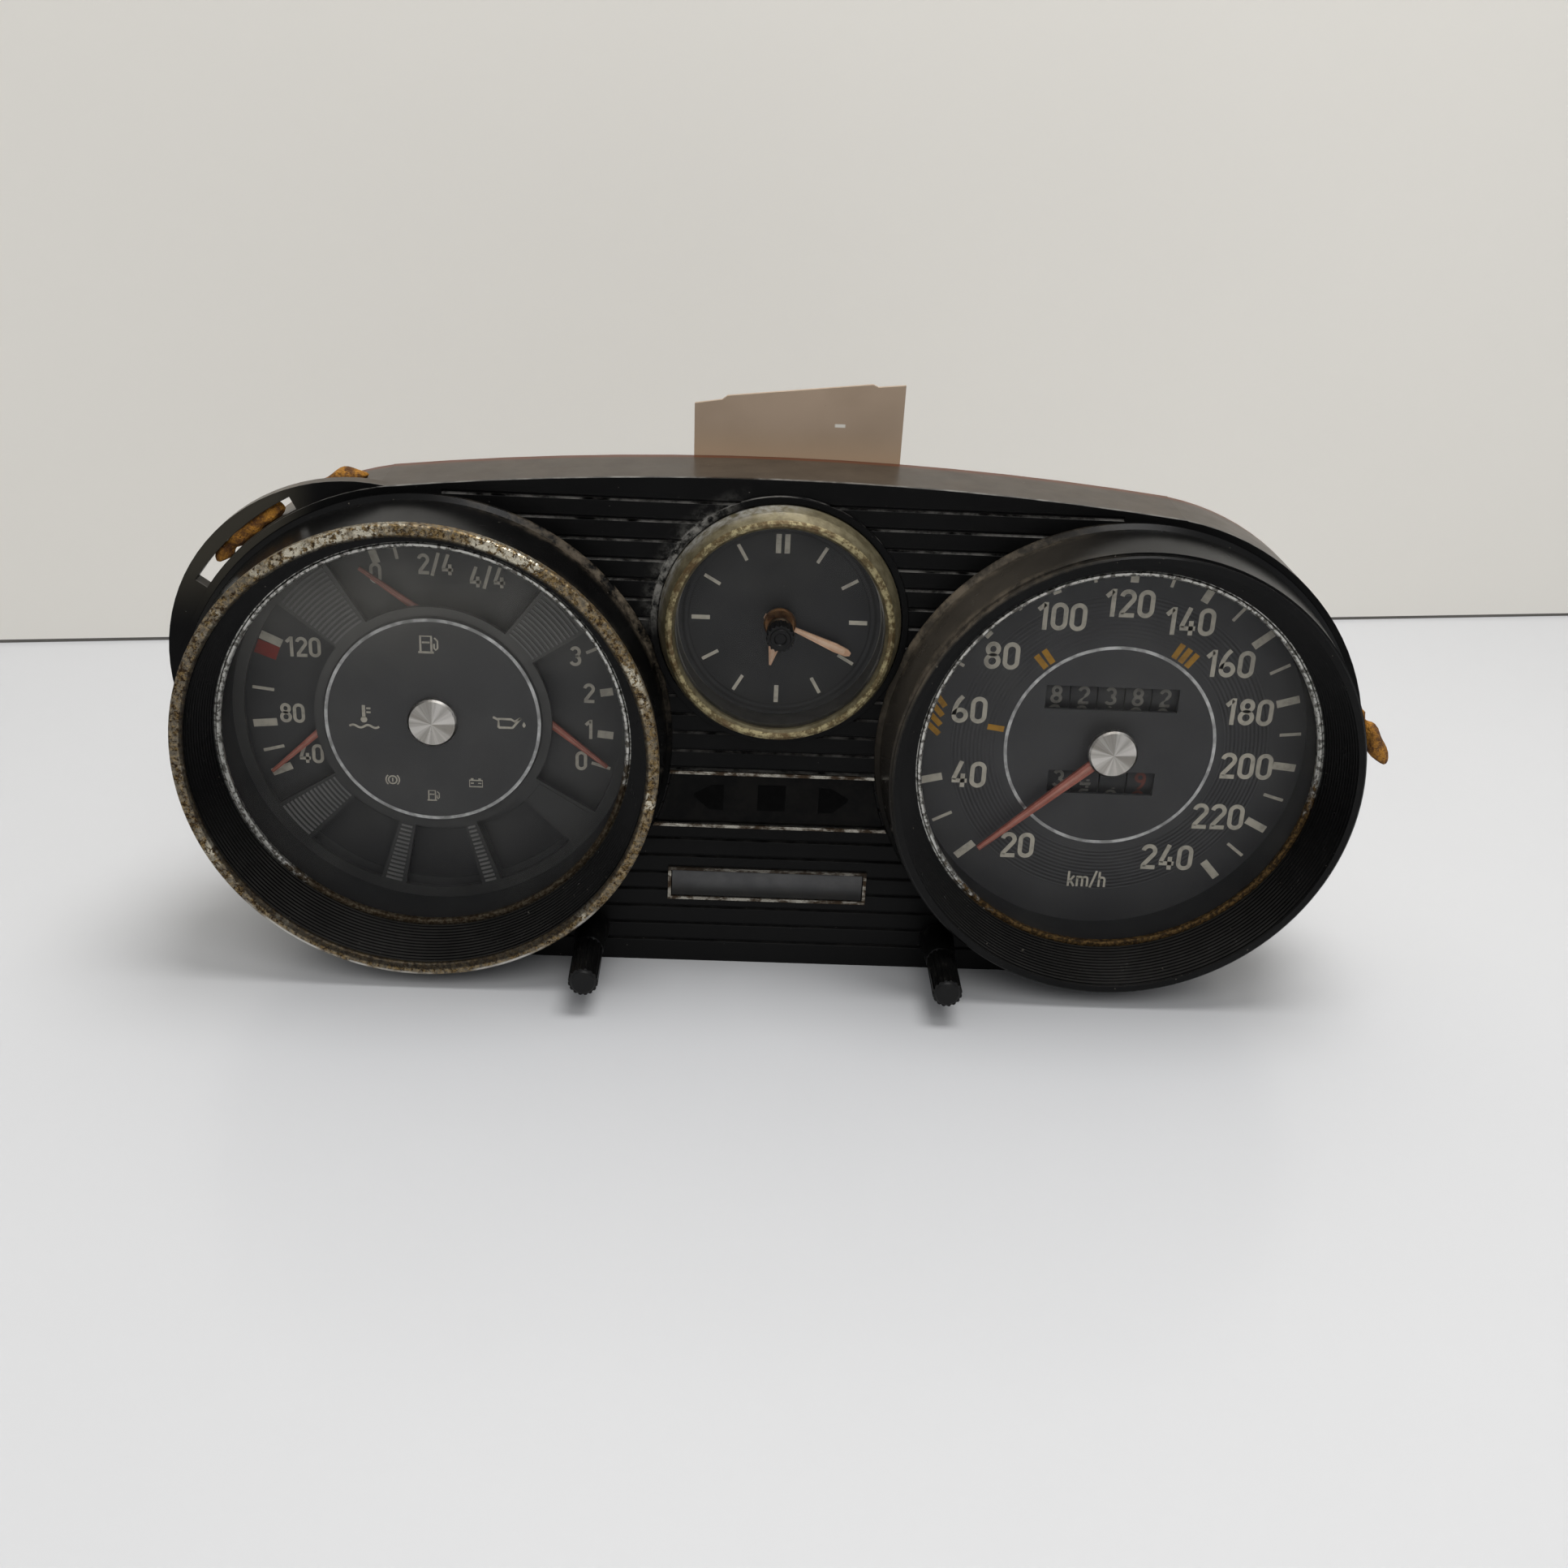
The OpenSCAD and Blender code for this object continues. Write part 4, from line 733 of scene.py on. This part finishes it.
def turned(name, centre, profile, look, body, steps=72):
    """Closed ring: a profile of (radius, depth) points turned around an axis along Y."""
    sketch = Sketch()
    count = len(profile)
    for i in range(steps):
        angle = 2 * math.pi * i / steps
        sketch.verts += [around_axis(centre, radius, angle, depth) for radius, depth in profile]
    for i in range(steps):
        a, b = i * count, (i + 1) % steps * count
        for k in range(count):
            n = (k + 1) % count
            sketch.faces.append([a + k, a + n, b + n, b + k])
    sketch.piece(name, look, body)


# Speedometer

# Radius and direction of each number
SPEED_LABELS = {
    20: (35.5, 215.7), 40: (36.3, 254.8), 60: (37.2, 282.4), 80: (37.2, 307.4), 100: (36.9, 334.4),
    120: (37.3, 0.5), 140: (36.8, 25.3), 160: (35.4, 50.1), 180: (35.3, 73.3), 200: (35.7, 97.3),
    220: (35.6, 121.9), 240: (36, 149),
}
LABEL_HEIGHT, LABEL_WIDTH, LABEL_SHIFT = 7.1, 1.04, 0.65
UNIT_PLACE, UNIT_HEIGHT, UNIT_STROKE = (38, 182.4), 4.3, 0.13
# Radius, length and width of the marks, which are printed a little off the axis
MAJOR_TICK, MINOR_TICK = (45.6, 5.8, 2), (45.8, 5.4, 0.8)
TICKS_CENTRE = (RIGHT[0] - 0.3, RIGHT[1] + 0.6)
# Speeds that have yellow hatching in place of a mark
HATCHED = (50, 60)
HATCH_RADIUS, HATCH_START, HATCH_STEP, HATCH_COUNT = 45.2, 274.2, 3.3, 4
HATCH_SIZE, HATCH_SLANT = (4.4, 1.4), 38
# Direction and count of each group of yellow gear marks
GEAR_MARKS = ((277.9, 1), (320.3, 2), (32.3, 3))
GEAR_RADIUS, GEAR_STEP, GEAR_SIZE = 29.6, 4.2, (4.2, 1.5)


def speed_angle(speed):
    """Direction of a speed, clockwise from the top, by a curve fitted to the dial."""
    step = speed - 20
    return -131.92 + 1.424052 * step - 0.000897 * step * step


def make_speed_print():
    place = facing_front(RIGHT, SPEED_FACE)
    ticks = facing_front(TICKS_CENTRE, SPEED_FACE)
    scale = Sketch()
    for speed in range(20, 250, 10):
        if speed not in HATCHED:
            radius, length, width = MINOR_TICK if speed % 20 else MAJOR_TICK
            bar(scale, radius, speed_angle(speed), length, width, ticks)
    for speed, (radius, degrees) in SPEED_LABELS.items():
        u, v = polar(radius, degrees)
        write(scale, str(speed), (u, v + LABEL_SHIFT), LABEL_HEIGHT, place, LABEL_WIDTH)
    u, v = polar(*UNIT_PLACE)
    write(scale, "km/h", (u, v + LABEL_SHIFT), UNIT_HEIGHT, place, 1, UNIT_STROKE)
    scale.piece("speed_scale", "cream")
    marks = Sketch()
    for degrees, count in GEAR_MARKS:
        for i in range(count):
            bar(marks, GEAR_RADIUS, degrees + GEAR_STEP * (i - (count - 1) / 2), *GEAR_SIZE, place)
    for i in range(HATCH_COUNT):
        bar(marks, HATCH_RADIUS, HATCH_START + HATCH_STEP * i, *HATCH_SIZE, place, HATCH_SLANT)
    marks.piece("speed_marks", "yellow")
    circle("speed_circle", RIGHT, SPEED_FACE)


# Middle, pitch and height of each row of drums from the axis, and the digits that show
ODO_ROW = (-0.9, 6.85, 12.9, (8, 2, 3, 8, 2))
TRIP_ROW = (-1.2, 7, -9.9, (3, 4, 1, 9))
DIGIT_TURN, DIGIT_HEIGHT, DIGIT_WIDTH, DIGIT_STROKE = 36, 4.8, 1.1, 0.17


def make_counter(name, row, last_look):
    """Ten digits around each drum, with the one that shows at the front."""
    middle, pitch, height, shows = row
    for i, shown in enumerate(shows):
        sketch = Sketch()
        x = RIGHT[0] + middle + (i - (len(shows) - 1) / 2) * pitch
        for digit in range(10):
            place = on_drum(x, RIGHT[1] + height, math.radians(DIGIT_TURN * (shown - digit)))
            write(sketch, str(digit), (0, 0), DIGIT_HEIGHT, place, DIGIT_WIDTH, DIGIT_STROKE)
        look = last_look if i == len(shows) - 1 else "grey"
        sketch.piece(f"{name}_digits_{i + 1}", look, f"{name}_{i + 1}")


# Combined gauge

# Text, right and up of each number
GAUGE_LABELS = (
    ("0", -13.6, 36.3), ("2/4", 1, 39.1), ("4/4", 13.5, 36.3), ("120", -32.3, 16.5), ("80", -36, -1.2),
    ("40", -31.9, -12.1), ("3", 35, 16.8), ("2", 38.4, 7.1), ("1", 38.4, -2.7), ("0", 36.5, -11.4),
)
GAUGE_LABEL_HEIGHT = 5.2
# Right, up, width and length of each mark
GAUGE_TICKS = (
    (-14, 41.2, 1.9, 5), (-8.7, 42.5, 0.8, 5), (-42.8, 5.2, 0.8, 5.4), (-42.9, -4, 2, 6),
    (-41.2, -10.9, 0.8, 5.4), (-39.5, -16.6, 2, 5.4), (39.2, 18.5, 0.8, 3.4), (42.8, 7.5, 2, 3.2),
    (42.6, -4, 2, 4), (41.5, -12.6, 0.8, 5),
)
# Radius, direction, length and width of the two marks at the hot end
HOT_WHITE, HOT_RED = (44, 294.6, 5.6, 2.2), (44, 290.6, 5.6, 3.6)


def make_gauge_print():
    place = facing_front(LEFT, GAUGE_FACE)
    scale = Sketch()
    for text, u, v in GAUGE_LABELS:
        write(scale, text, (u, v), GAUGE_LABEL_HEIGHT, place)
    for u, v, width, length in GAUGE_TICKS:
        bar(scale, math.hypot(u, v), math.degrees(math.atan2(u, v)), length, width, place)
    bar(scale, *HOT_WHITE, place)
    scale.piece("gauge_scale", "cream")
    hot = Sketch()
    bar(hot, *HOT_RED, place)
    hot.piece("gauge_hot_mark", "red")
    circle("gauge_circle", LEFT, CENTRE_FACE)


# Lines of each pictogram in units of its size: points, width (0 fills it), and True if it is closed
PUMP = (
    ([(-1.1, -1), (-1.1, 1.1), (0.3, 1.1), (0.3, -1)], 0.28),
    ([(-1.4, -1.1), (0.6, -1.1)], 0.3),
    ([(-0.9, 0.25), (0.1, 0.25)], 0.24),
    ([(0.7, 0.9), (1.1, 0.5), (1.1, -0.5), (0.85, -0.75), (0.65, -0.5), (0.65, 0.1)], 0.22),
)
THERMOMETER = (
    ([(0, 1.3), (0, -0.1)], 0.36),
    (loop(0, -0.35, 0.36, 0.36, 16), 0),
    ([(0.3, 0.5), (0.75, 0.5)], 0.2),
    ([(0.3, 0.95), (0.75, 0.95)], 0.2),
    ([(-1.6 + 0.2 * i, -1.15 + 0.16 * math.sin(math.pi * i / 4)) for i in range(17)], 0.24),
)
OIL_CAN = (
    ([(-1, -0.6), (0.5, -0.6), (1.4, 0.55)], 0.26),
    ([(-1, -0.6), (-1, 0.4), (0.35, 0.4), (0.75, 0.15), (1.4, 0.55)], 0.26),
    ([(-1.05, 0.3), (-1.6, 0.6)], 0.24),
    ([(1.75, -0.55), (1.95, -0.25), (1.75, 0.15), (1.55, -0.25)], 0),
)
BATTERY = (
    ([(-1.2, -0.7), (1.2, -0.7), (1.2, 0.6), (-1.2, 0.6)], 0.26, True),
    ([(-0.95, 0.85), (-0.45, 0.85)], 0.3),
    ([(-1, 0), (-0.4, 0)], 0.2),
    ([(0.45, 0.85), (0.95, 0.85)], 0.3),
    ([(0.4, 0), (1, 0)], 0.2),
)
BRAKE_DRUM = (
    (loop(0, 0, 0.75, 0.75), 0.26, True),
    ([(0, 0.38), (0, -0.38)], 0.24),
    (arc(0, 0, 1.2, 1.2, -48, 48, 10), 0.24),
    (arc(0, 0, 1.2, 1.2, 132, 228, 10), 0.24),
)
# Pictogram, radius, direction and size of each sign on the gauge's centre
GAUGE_SIGNS = (
    (PUMP, 20.2, 359, 1.9), (THERMOMETER, 17.1, 272, 2.3), (OIL_CAN, 18.6, 89, 2.3),
    (BRAKE_DRUM, 19.5, 213, 1.4), (PUMP, 20.3, 181, 1.2), (BATTERY, 19.5, 148, 1.35),
)


def make_gauge_signs():
    place = facing_front(LEFT, CENTRE_FACE)
    signs = Sketch()
    for pictogram, radius, degrees, size in GAUGE_SIGNS:
        u0, v0 = polar(radius, degrees)
        for line, width, *closed in pictogram:
            points = [(u0 + u * size, v0 + v * size) for u, v in line]
            if width:
                signs.stroke(points, width * size, place, bool(closed))
            else:
                signs.plate(points, place)
    signs.piece("gauge_signs", "cream")


# Direction and half width of each ridged spoke of the mask, in degrees
GAUGE_SPOKES = ((318, 10), (47.5, 9.5), (163, 3.2), (194.5, 4), (231, 7.5))
SPOKE_MARGIN, RIDGE_START, RIDGE_STEP, RIDGE_COUNT = 1.4, 30.4, 1.2, 14
RIDGE_WIDTH, RIDGE_HEIGHT = 0.55, 0.28
# The spoke without ridges: direction, half width, inner and outer radius
FLAT_MIDDLE, FLAT_HALF, FLAT_INNER, FLAT_OUTER = 127, 5.2, 31, 45.6
FLAT_HEIGHT = 0.2


def make_spokes():
    place = facing_front(LEFT, MASK_FACE)
    ridges = Sketch()
    for middle, half in GAUGE_SPOKES:
        spread = half - SPOKE_MARGIN
        for i in range(RIDGE_COUNT):
            radius = RIDGE_START + RIDGE_STEP * i
            line = [polar(radius, middle - spread + 2 * spread * k / 8) for k in range(9)]
            ridges.stroke(line, RIDGE_WIDTH, place, False, RIDGE_HEIGHT)
    ridges.piece("gauge_ridges", "spoke")
    flat = Sketch()
    outer = [polar(FLAT_OUTER, FLAT_MIDDLE + FLAT_HALF * k / 6) for k in range(-6, 7)]
    inner = [polar(FLAT_INNER, FLAT_MIDDLE - FLAT_HALF * k / 6) for k in range(-6, 7)]
    flat.plate(outer + inner, place, FLAT_HEIGHT)
    flat.piece("gauge_plain_spoke", "mask")


# Needles and clock


def ridge(name, pivot, depth, degrees, roof, look, body):
    """Low roof along a pointer: where it starts and ends, its half width at both, and its height."""
    start, end, start_width, end_width, rise = roof
    axis_u, axis_v = polar(1, degrees)
    side_u, side_v = axis_v, -axis_u
    sketch = Sketch()
    for reach, width in ((start, start_width), (end, end_width)):
        for shift, height in ((-width, 0), (0, rise), (width, 0)):
            sketch.verts.append((pivot[0] + axis_u * reach + side_u * shift, depth - height,
                                 pivot[1] + axis_v * reach + side_v * shift))
    sketch.faces = [[0, 1, 4, 3], [1, 2, 5, 4], [0, 3, 5, 2], [0, 2, 1], [3, 4, 5]]
    sketch.piece(name, look, body)


# Pivot from the axis, direction and length of each gauge needle
GAUGE_POINTERS = {
    "fuel": ((3, 23.6), -54.7, 24.4),
    "temp": ((-23.5, -0.1), 227.6, 24),
    "oil": ((24.1, 3), 128.4, 24),
}
GAUGE_POINTER_FRONT, SPEED_POINTER_FRONT = 2.1, -4.9
SPEED_REST = -131.9


def make_pointers():
    for name, (pivot, degrees, length) in GAUGE_POINTERS.items():
        place = (LEFT[0] + pivot[0], LEFT[1] + pivot[1])
        ridge(f"{name}_needle_ridge", place, GAUGE_POINTER_FRONT, degrees, (2.8, length, 0.42, 0.14, 0.22),
              "ridge", f"{name}_hand")
    ridge("speed_needle_ridge", RIGHT, SPEED_POINTER_FRONT, SPEED_REST, (6.4, 41.6, 0.55, 0.2, 0.3),
          "ridge", "speed_hand")


HOUR_FRONT, MINUTE_FRONT = -7.6, -8.6
HOUR_REST, MINUTE_REST = 180 + 113 / 12, 113
HOUR_ROOF, MINUTE_ROOF = (4, 10.3, 0.5, 0.3, 0.12), (4.6, 17.4, 0.25, 0.6, 0.12)
HOUR_MARK_RADIUS, HOUR_MARK_LENGTH, HOUR_MARK_WIDTH, QUARTER_WIDTH = 19, 4.4, 0.8, 1.05
# The double mark at twelve: places to the side, ends and width
TWELVE_SIDES, TWELVE_ENDS, TWELVE_WIDTH = (-1.05, 1.05), (16.6, 21.3), 1.25
# Profiles of (radius, depth)
KNOB_RING = ((1.2, -20.45), (2.5, -20.45), (2.35, -20.85), (1.5, -20.85))
HAND_HUB = ((1.4, -8.62), (3.9, -8.62), (3.9, -9.3), (3.5, -9.7), (1.4, -9.7))


def make_clock_print():
    place = facing_front(CLOCK, CLOCK_FACE)
    marks = Sketch()
    for hour in range(1, 12):
        width = HOUR_MARK_WIDTH if hour % 3 else QUARTER_WIDTH
        bar(marks, HOUR_MARK_RADIUS, 30 * hour, HOUR_MARK_LENGTH, width, place)
    for side in TWELVE_SIDES:
        marks.stroke([(side, end) for end in TWELVE_ENDS], TWELVE_WIDTH, place)
    marks.piece("clock_marks", "cream")
    ridge("hour_hand_ridge", CLOCK, HOUR_FRONT, HOUR_REST, HOUR_ROOF, "hand_light", "hours")
    ridge("minute_hand_ridge", CLOCK, MINUTE_FRONT, MINUTE_REST, MINUTE_ROOF,
          "hand_light", "minutes")
    turned("clock_knob_ring", CLOCK, KNOB_RING, "knob", "set_knob")
    turned("hand_hub", CLOCK, HAND_HUB, "hub", "minutes")


# Panel and rear

STRIP_CENTRE, STRIP_HEIGHT = (0, 46.4), 0.04
STRIP_ARROW = ((11.9, -3.4), (11.9, 3.6), (15, 3.4), (19.3, 0.9), (19.3, 0.1), (15.6, -3.2))
STRIP_SQUARE = ((-3.4, -3.2), (3.6, -3.2), (3.6, 3.8), (-3.4, 3.8))


def make_strip_signs():
    """Dark arrow, square and arrow in the indicator strip."""
    place = facing_front(STRIP_CENTRE, LENS_FACE)
    signs = Sketch()
    for side in (-1, 1):
        signs.plate([(side * u, v) for u, v in STRIP_ARROW], place, STRIP_HEIGHT)
    signs.plate(STRIP_SQUARE, place, STRIP_HEIGHT)
    signs.piece("strip_signs", "sign", "cluster")


THREAD_STEPS, THREAD_RISE, THREAD_SUNK, THREAD_HALF = 36, 0.28, 0.05, 0.32


def make_thread(name, look, centre, start, end, radius, pitch):
    """Fine helical ridge on a round end."""
    half = THREAD_HALF * pitch
    count = int((end - start - 2 * half) / pitch * THREAD_STEPS)
    sketch = Sketch()
    for i in range(count + 1):
        angle = 2 * math.pi * i / THREAD_STEPS
        depth = start + half + pitch * i / THREAD_STEPS
        taper = min(1, i / THREAD_STEPS, (count - i) / THREAD_STEPS)
        for shift, reach in ((-half, -THREAD_SUNK), (0, THREAD_RISE * taper), (half, -THREAD_SUNK)):
            sketch.verts.append(around_axis(centre, radius + reach, angle, depth + shift))
    for i in range(count):
        a, b = 3 * i, 3 * i + 3
        sketch.faces += [[a, a + 1, b + 1, b], [a + 1, a + 2, b + 2, b + 1], [a, b, b + 2, a + 2]]
    last = 3 * count
    sketch.faces += [[0, 2, 1], [last, last + 1, last + 2]]
    sketch.piece(name, look, "cluster")


OIL_UNION, STUD = (LEFT[0] + 24.1, LEFT[1] + 3), (3, 106.52)
FOAM_SIDES = 14


def make_foam(name, path, radii, seed):
    """Crumb of old foam: a lumpy strip along a path."""
    draw = random.Random(seed)
    sketch = Sketch()
    for i, (point, radius) in enumerate(zip(path, radii)):
        before, after = Vector(path[max(i - 1, 0)]), Vector(path[min(i + 1, len(path) - 1)])
        along = (after - before).normalized()
        side = along.orthogonal().normalized()
        other = along.cross(side)
        for k in range(FOAM_SIDES):
            angle = 2 * math.pi * k / FOAM_SIDES
            reach = radius * draw.uniform(0.62, 1.3)
            sketch.verts.append(Vector(point) + reach * (side * math.cos(angle) + other * math.sin(angle))
                                + along * draw.uniform(-0.3, 0.3))
    for i in range(len(path) - 1):
        for k in range(FOAM_SIDES):
            a, b = i * FOAM_SIDES + k, i * FOAM_SIDES + (k + 1) % FOAM_SIDES
            sketch.faces.append([a, b, b + FOAM_SIDES, a + FOAM_SIDES])
    sketch.faces.append(list(range(FOAM_SIDES)))
    sketch.faces.append(list(reversed(range((len(path) - 1) * FOAM_SIDES, len(path) * FOAM_SIDES))))
    obj = sketch.build(name)
    rounding = obj.modifiers.new("rounding", "SUBSURF")
    rounding.levels = rounding.render_levels = 1
    settle(obj, "foam", "cluster")


def rim_path(radius, start, end, depth, steps):
    """Points around the left axis, angles counted from the right."""
    points = []
    for i in range(steps):
        angle = math.radians(start + (end - start) * i / (steps - 1))
        points.append(around_axis(LEFT, radius, angle, depth + 0.5 * math.sin(3 * i)))
    return points


# Radii along each crumb, and the path of the one on the right
FOAM_TOP = (0.6, 1.8, 2.4, 1.7, 2.7, 3.4, 2.9, 1.5, 0.4)
FOAM_SLOT = (0.9, 2, 2.4, 2.2, 2.6, 2.3, 2.5, 2.3, 2.4, 1.9, 0.8)
FOAM_SIDE = (0.9, 2.2, 2.6, 2.2, 2.5, 2, 0.6)
FOAM_SIDE_PATH = ((145.9, 2, 73.4), (148.4, 1, 71.8), (150.4, 0.4, 69.2), (151.6, 0.2, 66.4),
                  (152.9, 0, 63.8), (154.8, 0, 61.2), (156.6, 0, 59))

BEAD = ((51.9, -0.9), (52.6, -0.6), (52.85, 0), (52.6, 0.6), (51.9, 0.9))


def make_bead(name, centre, depth, look):
    """Rolled bead near the rear of a can."""
    profile = [(radius, depth + shift) for radius, shift in BEAD]
    turned(name, centre, profile, look, "cluster", 128)


# Stage, in metres

CAMERA_AT = Vector((-12.8, -416.6, 229.3)) * MM
CAMERA_RIGHT = Vector((0.9987, -0.0182, 0.047))
CAMERA_UP = Vector((-0.0358, 0.4009, 0.9154))
FOCAL_PX, IMAGE_PX, SENSOR_MM = 2200, 1932, 36


def make_camera():
    data = bpy.data.cameras.new("camera")
    data.sensor_width = SENSOR_MM
    data.lens = SENSOR_MM * FOCAL_PX / IMAGE_PX
    data.clip_start = 0.01
    camera = bpy.data.objects.new("camera", data)
    bpy.context.scene.collection.objects.link(camera)
    right = CAMERA_RIGHT.normalized()
    back = right.cross(CAMERA_UP).normalized()
    up = back.cross(right)
    turn = Matrix((right, up, back)).transposed()
    camera.matrix_world = Matrix.Translation(CAMERA_AT) @ turn.to_4x4()
    bpy.context.scene.camera = camera


def stage_plane(name, corners, look):
    mesh = bpy.data.meshes.new(name)
    mesh.from_pydata([Vector(c) for c in corners], [], [[0, 1, 2, 3]])
    obj = bpy.data.objects.new(name, mesh)
    bpy.context.scene.collection.objects.link(obj)
    mesh.materials.append(look.material)


def stage_look(name, tone, rough):
    look = Look(name, Roughness=rough, Specular_IOR_Level=0.3)
    look.color(tone, tuple(c - 4 for c in tone), look.noise(180))
    return look


def open_back(look):
    """Lets a plane be seen through from behind."""
    behind = look.add("NewGeometry").outputs["Backfacing"]
    clear = look.add("BsdfTransparent").outputs[0]
    both = look.add("MixShader", {0: behind, 1: look.shader.outputs[0], 2: clear})
    look.feed(look.tree.nodes["Material Output"].inputs["Surface"], both.outputs[0])
    return look


# Where the wall meets the floor, and how far both reach
WALL_LEFT, WALL_RIGHT = Vector((-0.2809, 0.215, 0)), Vector((0.3566, 0.3261, 0))
STAGE_HALF, FLOOR_NEAR, FLOOR_FAR, WALL_HEIGHT = 3, 4, -3, 2.5
LINE_GAP, LINE_HEIGHT = 0.002, 0.0012


def make_stage():
    along = (WALL_RIGHT - WALL_LEFT).normalized() * STAGE_HALF
    middle = (WALL_LEFT + WALL_RIGHT) / 2
    a, b = middle - along, middle + along
    toward = Vector((along.y, -along.x, 0)).normalized()
    near, far = toward * FLOOR_NEAR, toward * FLOOR_FAR
    floor = stage_look("floor_white", (208, 209, 211), 0.25)
    stage_plane("floor", (a + near, b + near, b + far, a + far), floor)
    up = Vector((0, 0, WALL_HEIGHT))
    wall = open_back(stage_look("wall_pale", (234, 231, 224), 0.6))
    stage_plane("wall", (a, b, b + up, a + up), wall)
    # Painted shade: a thin dark strip at the foot of the wall, where the floor meets it.
    gap, up = toward * LINE_GAP, Vector((0, 0, LINE_HEIGHT))
    line = open_back(stage_look("wall_foot_shade", (96, 94, 90), 0.7))
    stage_plane("wall_foot_shade_strip", (a + gap, b + gap, b + gap + up, a + gap + up), line)


def area_light(name, place, target, size, power, tint):
    data = bpy.data.lights.new(name, "AREA")
    data.shape = "DISK"
    data.size = size
    data.energy = power
    data.color = tint
    light = bpy.data.objects.new(name, data)
    bpy.context.scene.collection.objects.link(light)
    light.location = place
    light.rotation_euler = (Vector(target) - Vector(place)).to_track_quat("-Z", "Y").to_euler()


def make_lights():
    world = bpy.data.worlds.new("studio")
    bpy.context.scene.world = world
    world.use_nodes = True
    back = world.node_tree.nodes["Background"]
    back.inputs["Color"].default_value = (0.97, 0.98, 1, 1)
    back.inputs["Strength"].default_value = 0.45
    area_light("over", place=(0.2, 0, 1.22), target=(0, 0.02, 0.05), size=0.7, power=9.5,
               tint=(1, 0.99, 0.98))
    area_light("fill", place=(0.1, -1.2, 1.3), target=(0, 0.27, 0.35), size=1.2, power=7.6,
               tint=(1, 0.99, 0.97))


make_camera()
dress_nodes()
make_speed_print()
make_counter("odo", ODO_ROW, "grey")
make_counter("trip", TRIP_ROW, "red_digit")
make_gauge_print()
make_gauge_signs()
make_spokes()
make_pointers()
make_clock_print()
make_strip_signs()
make_thread("cable_thread", "brass", RIGHT, 40.7, 53.2, radius=9, pitch=1.5)
make_thread("oil_thread", "brass", OIL_UNION, 39.2, 48.3, radius=5, pitch=1)
make_thread("stud_thread", "steel", STUD, 22.7, 26, radius=3, pitch=1)
make_foam("foam_top", rim_path(62.2, 119, 103, 5, len(FOAM_TOP)), FOAM_TOP, 3)
make_foam("foam_slot", rim_path(63.6, 120.5, 140.5, -4.6, len(FOAM_SLOT)), FOAM_SLOT, 5)
make_foam("foam_side", FOAM_SIDE_PATH, FOAM_SIDE, 8)
make_bead("gauge_can_bead", LEFT, 31.4, "can_left")
make_bead("speedo_can_bead", RIGHT, 35.4, "can_right")
make_stage()
make_lights()
bpy.context.scene.view_settings.view_transform = "Standard"
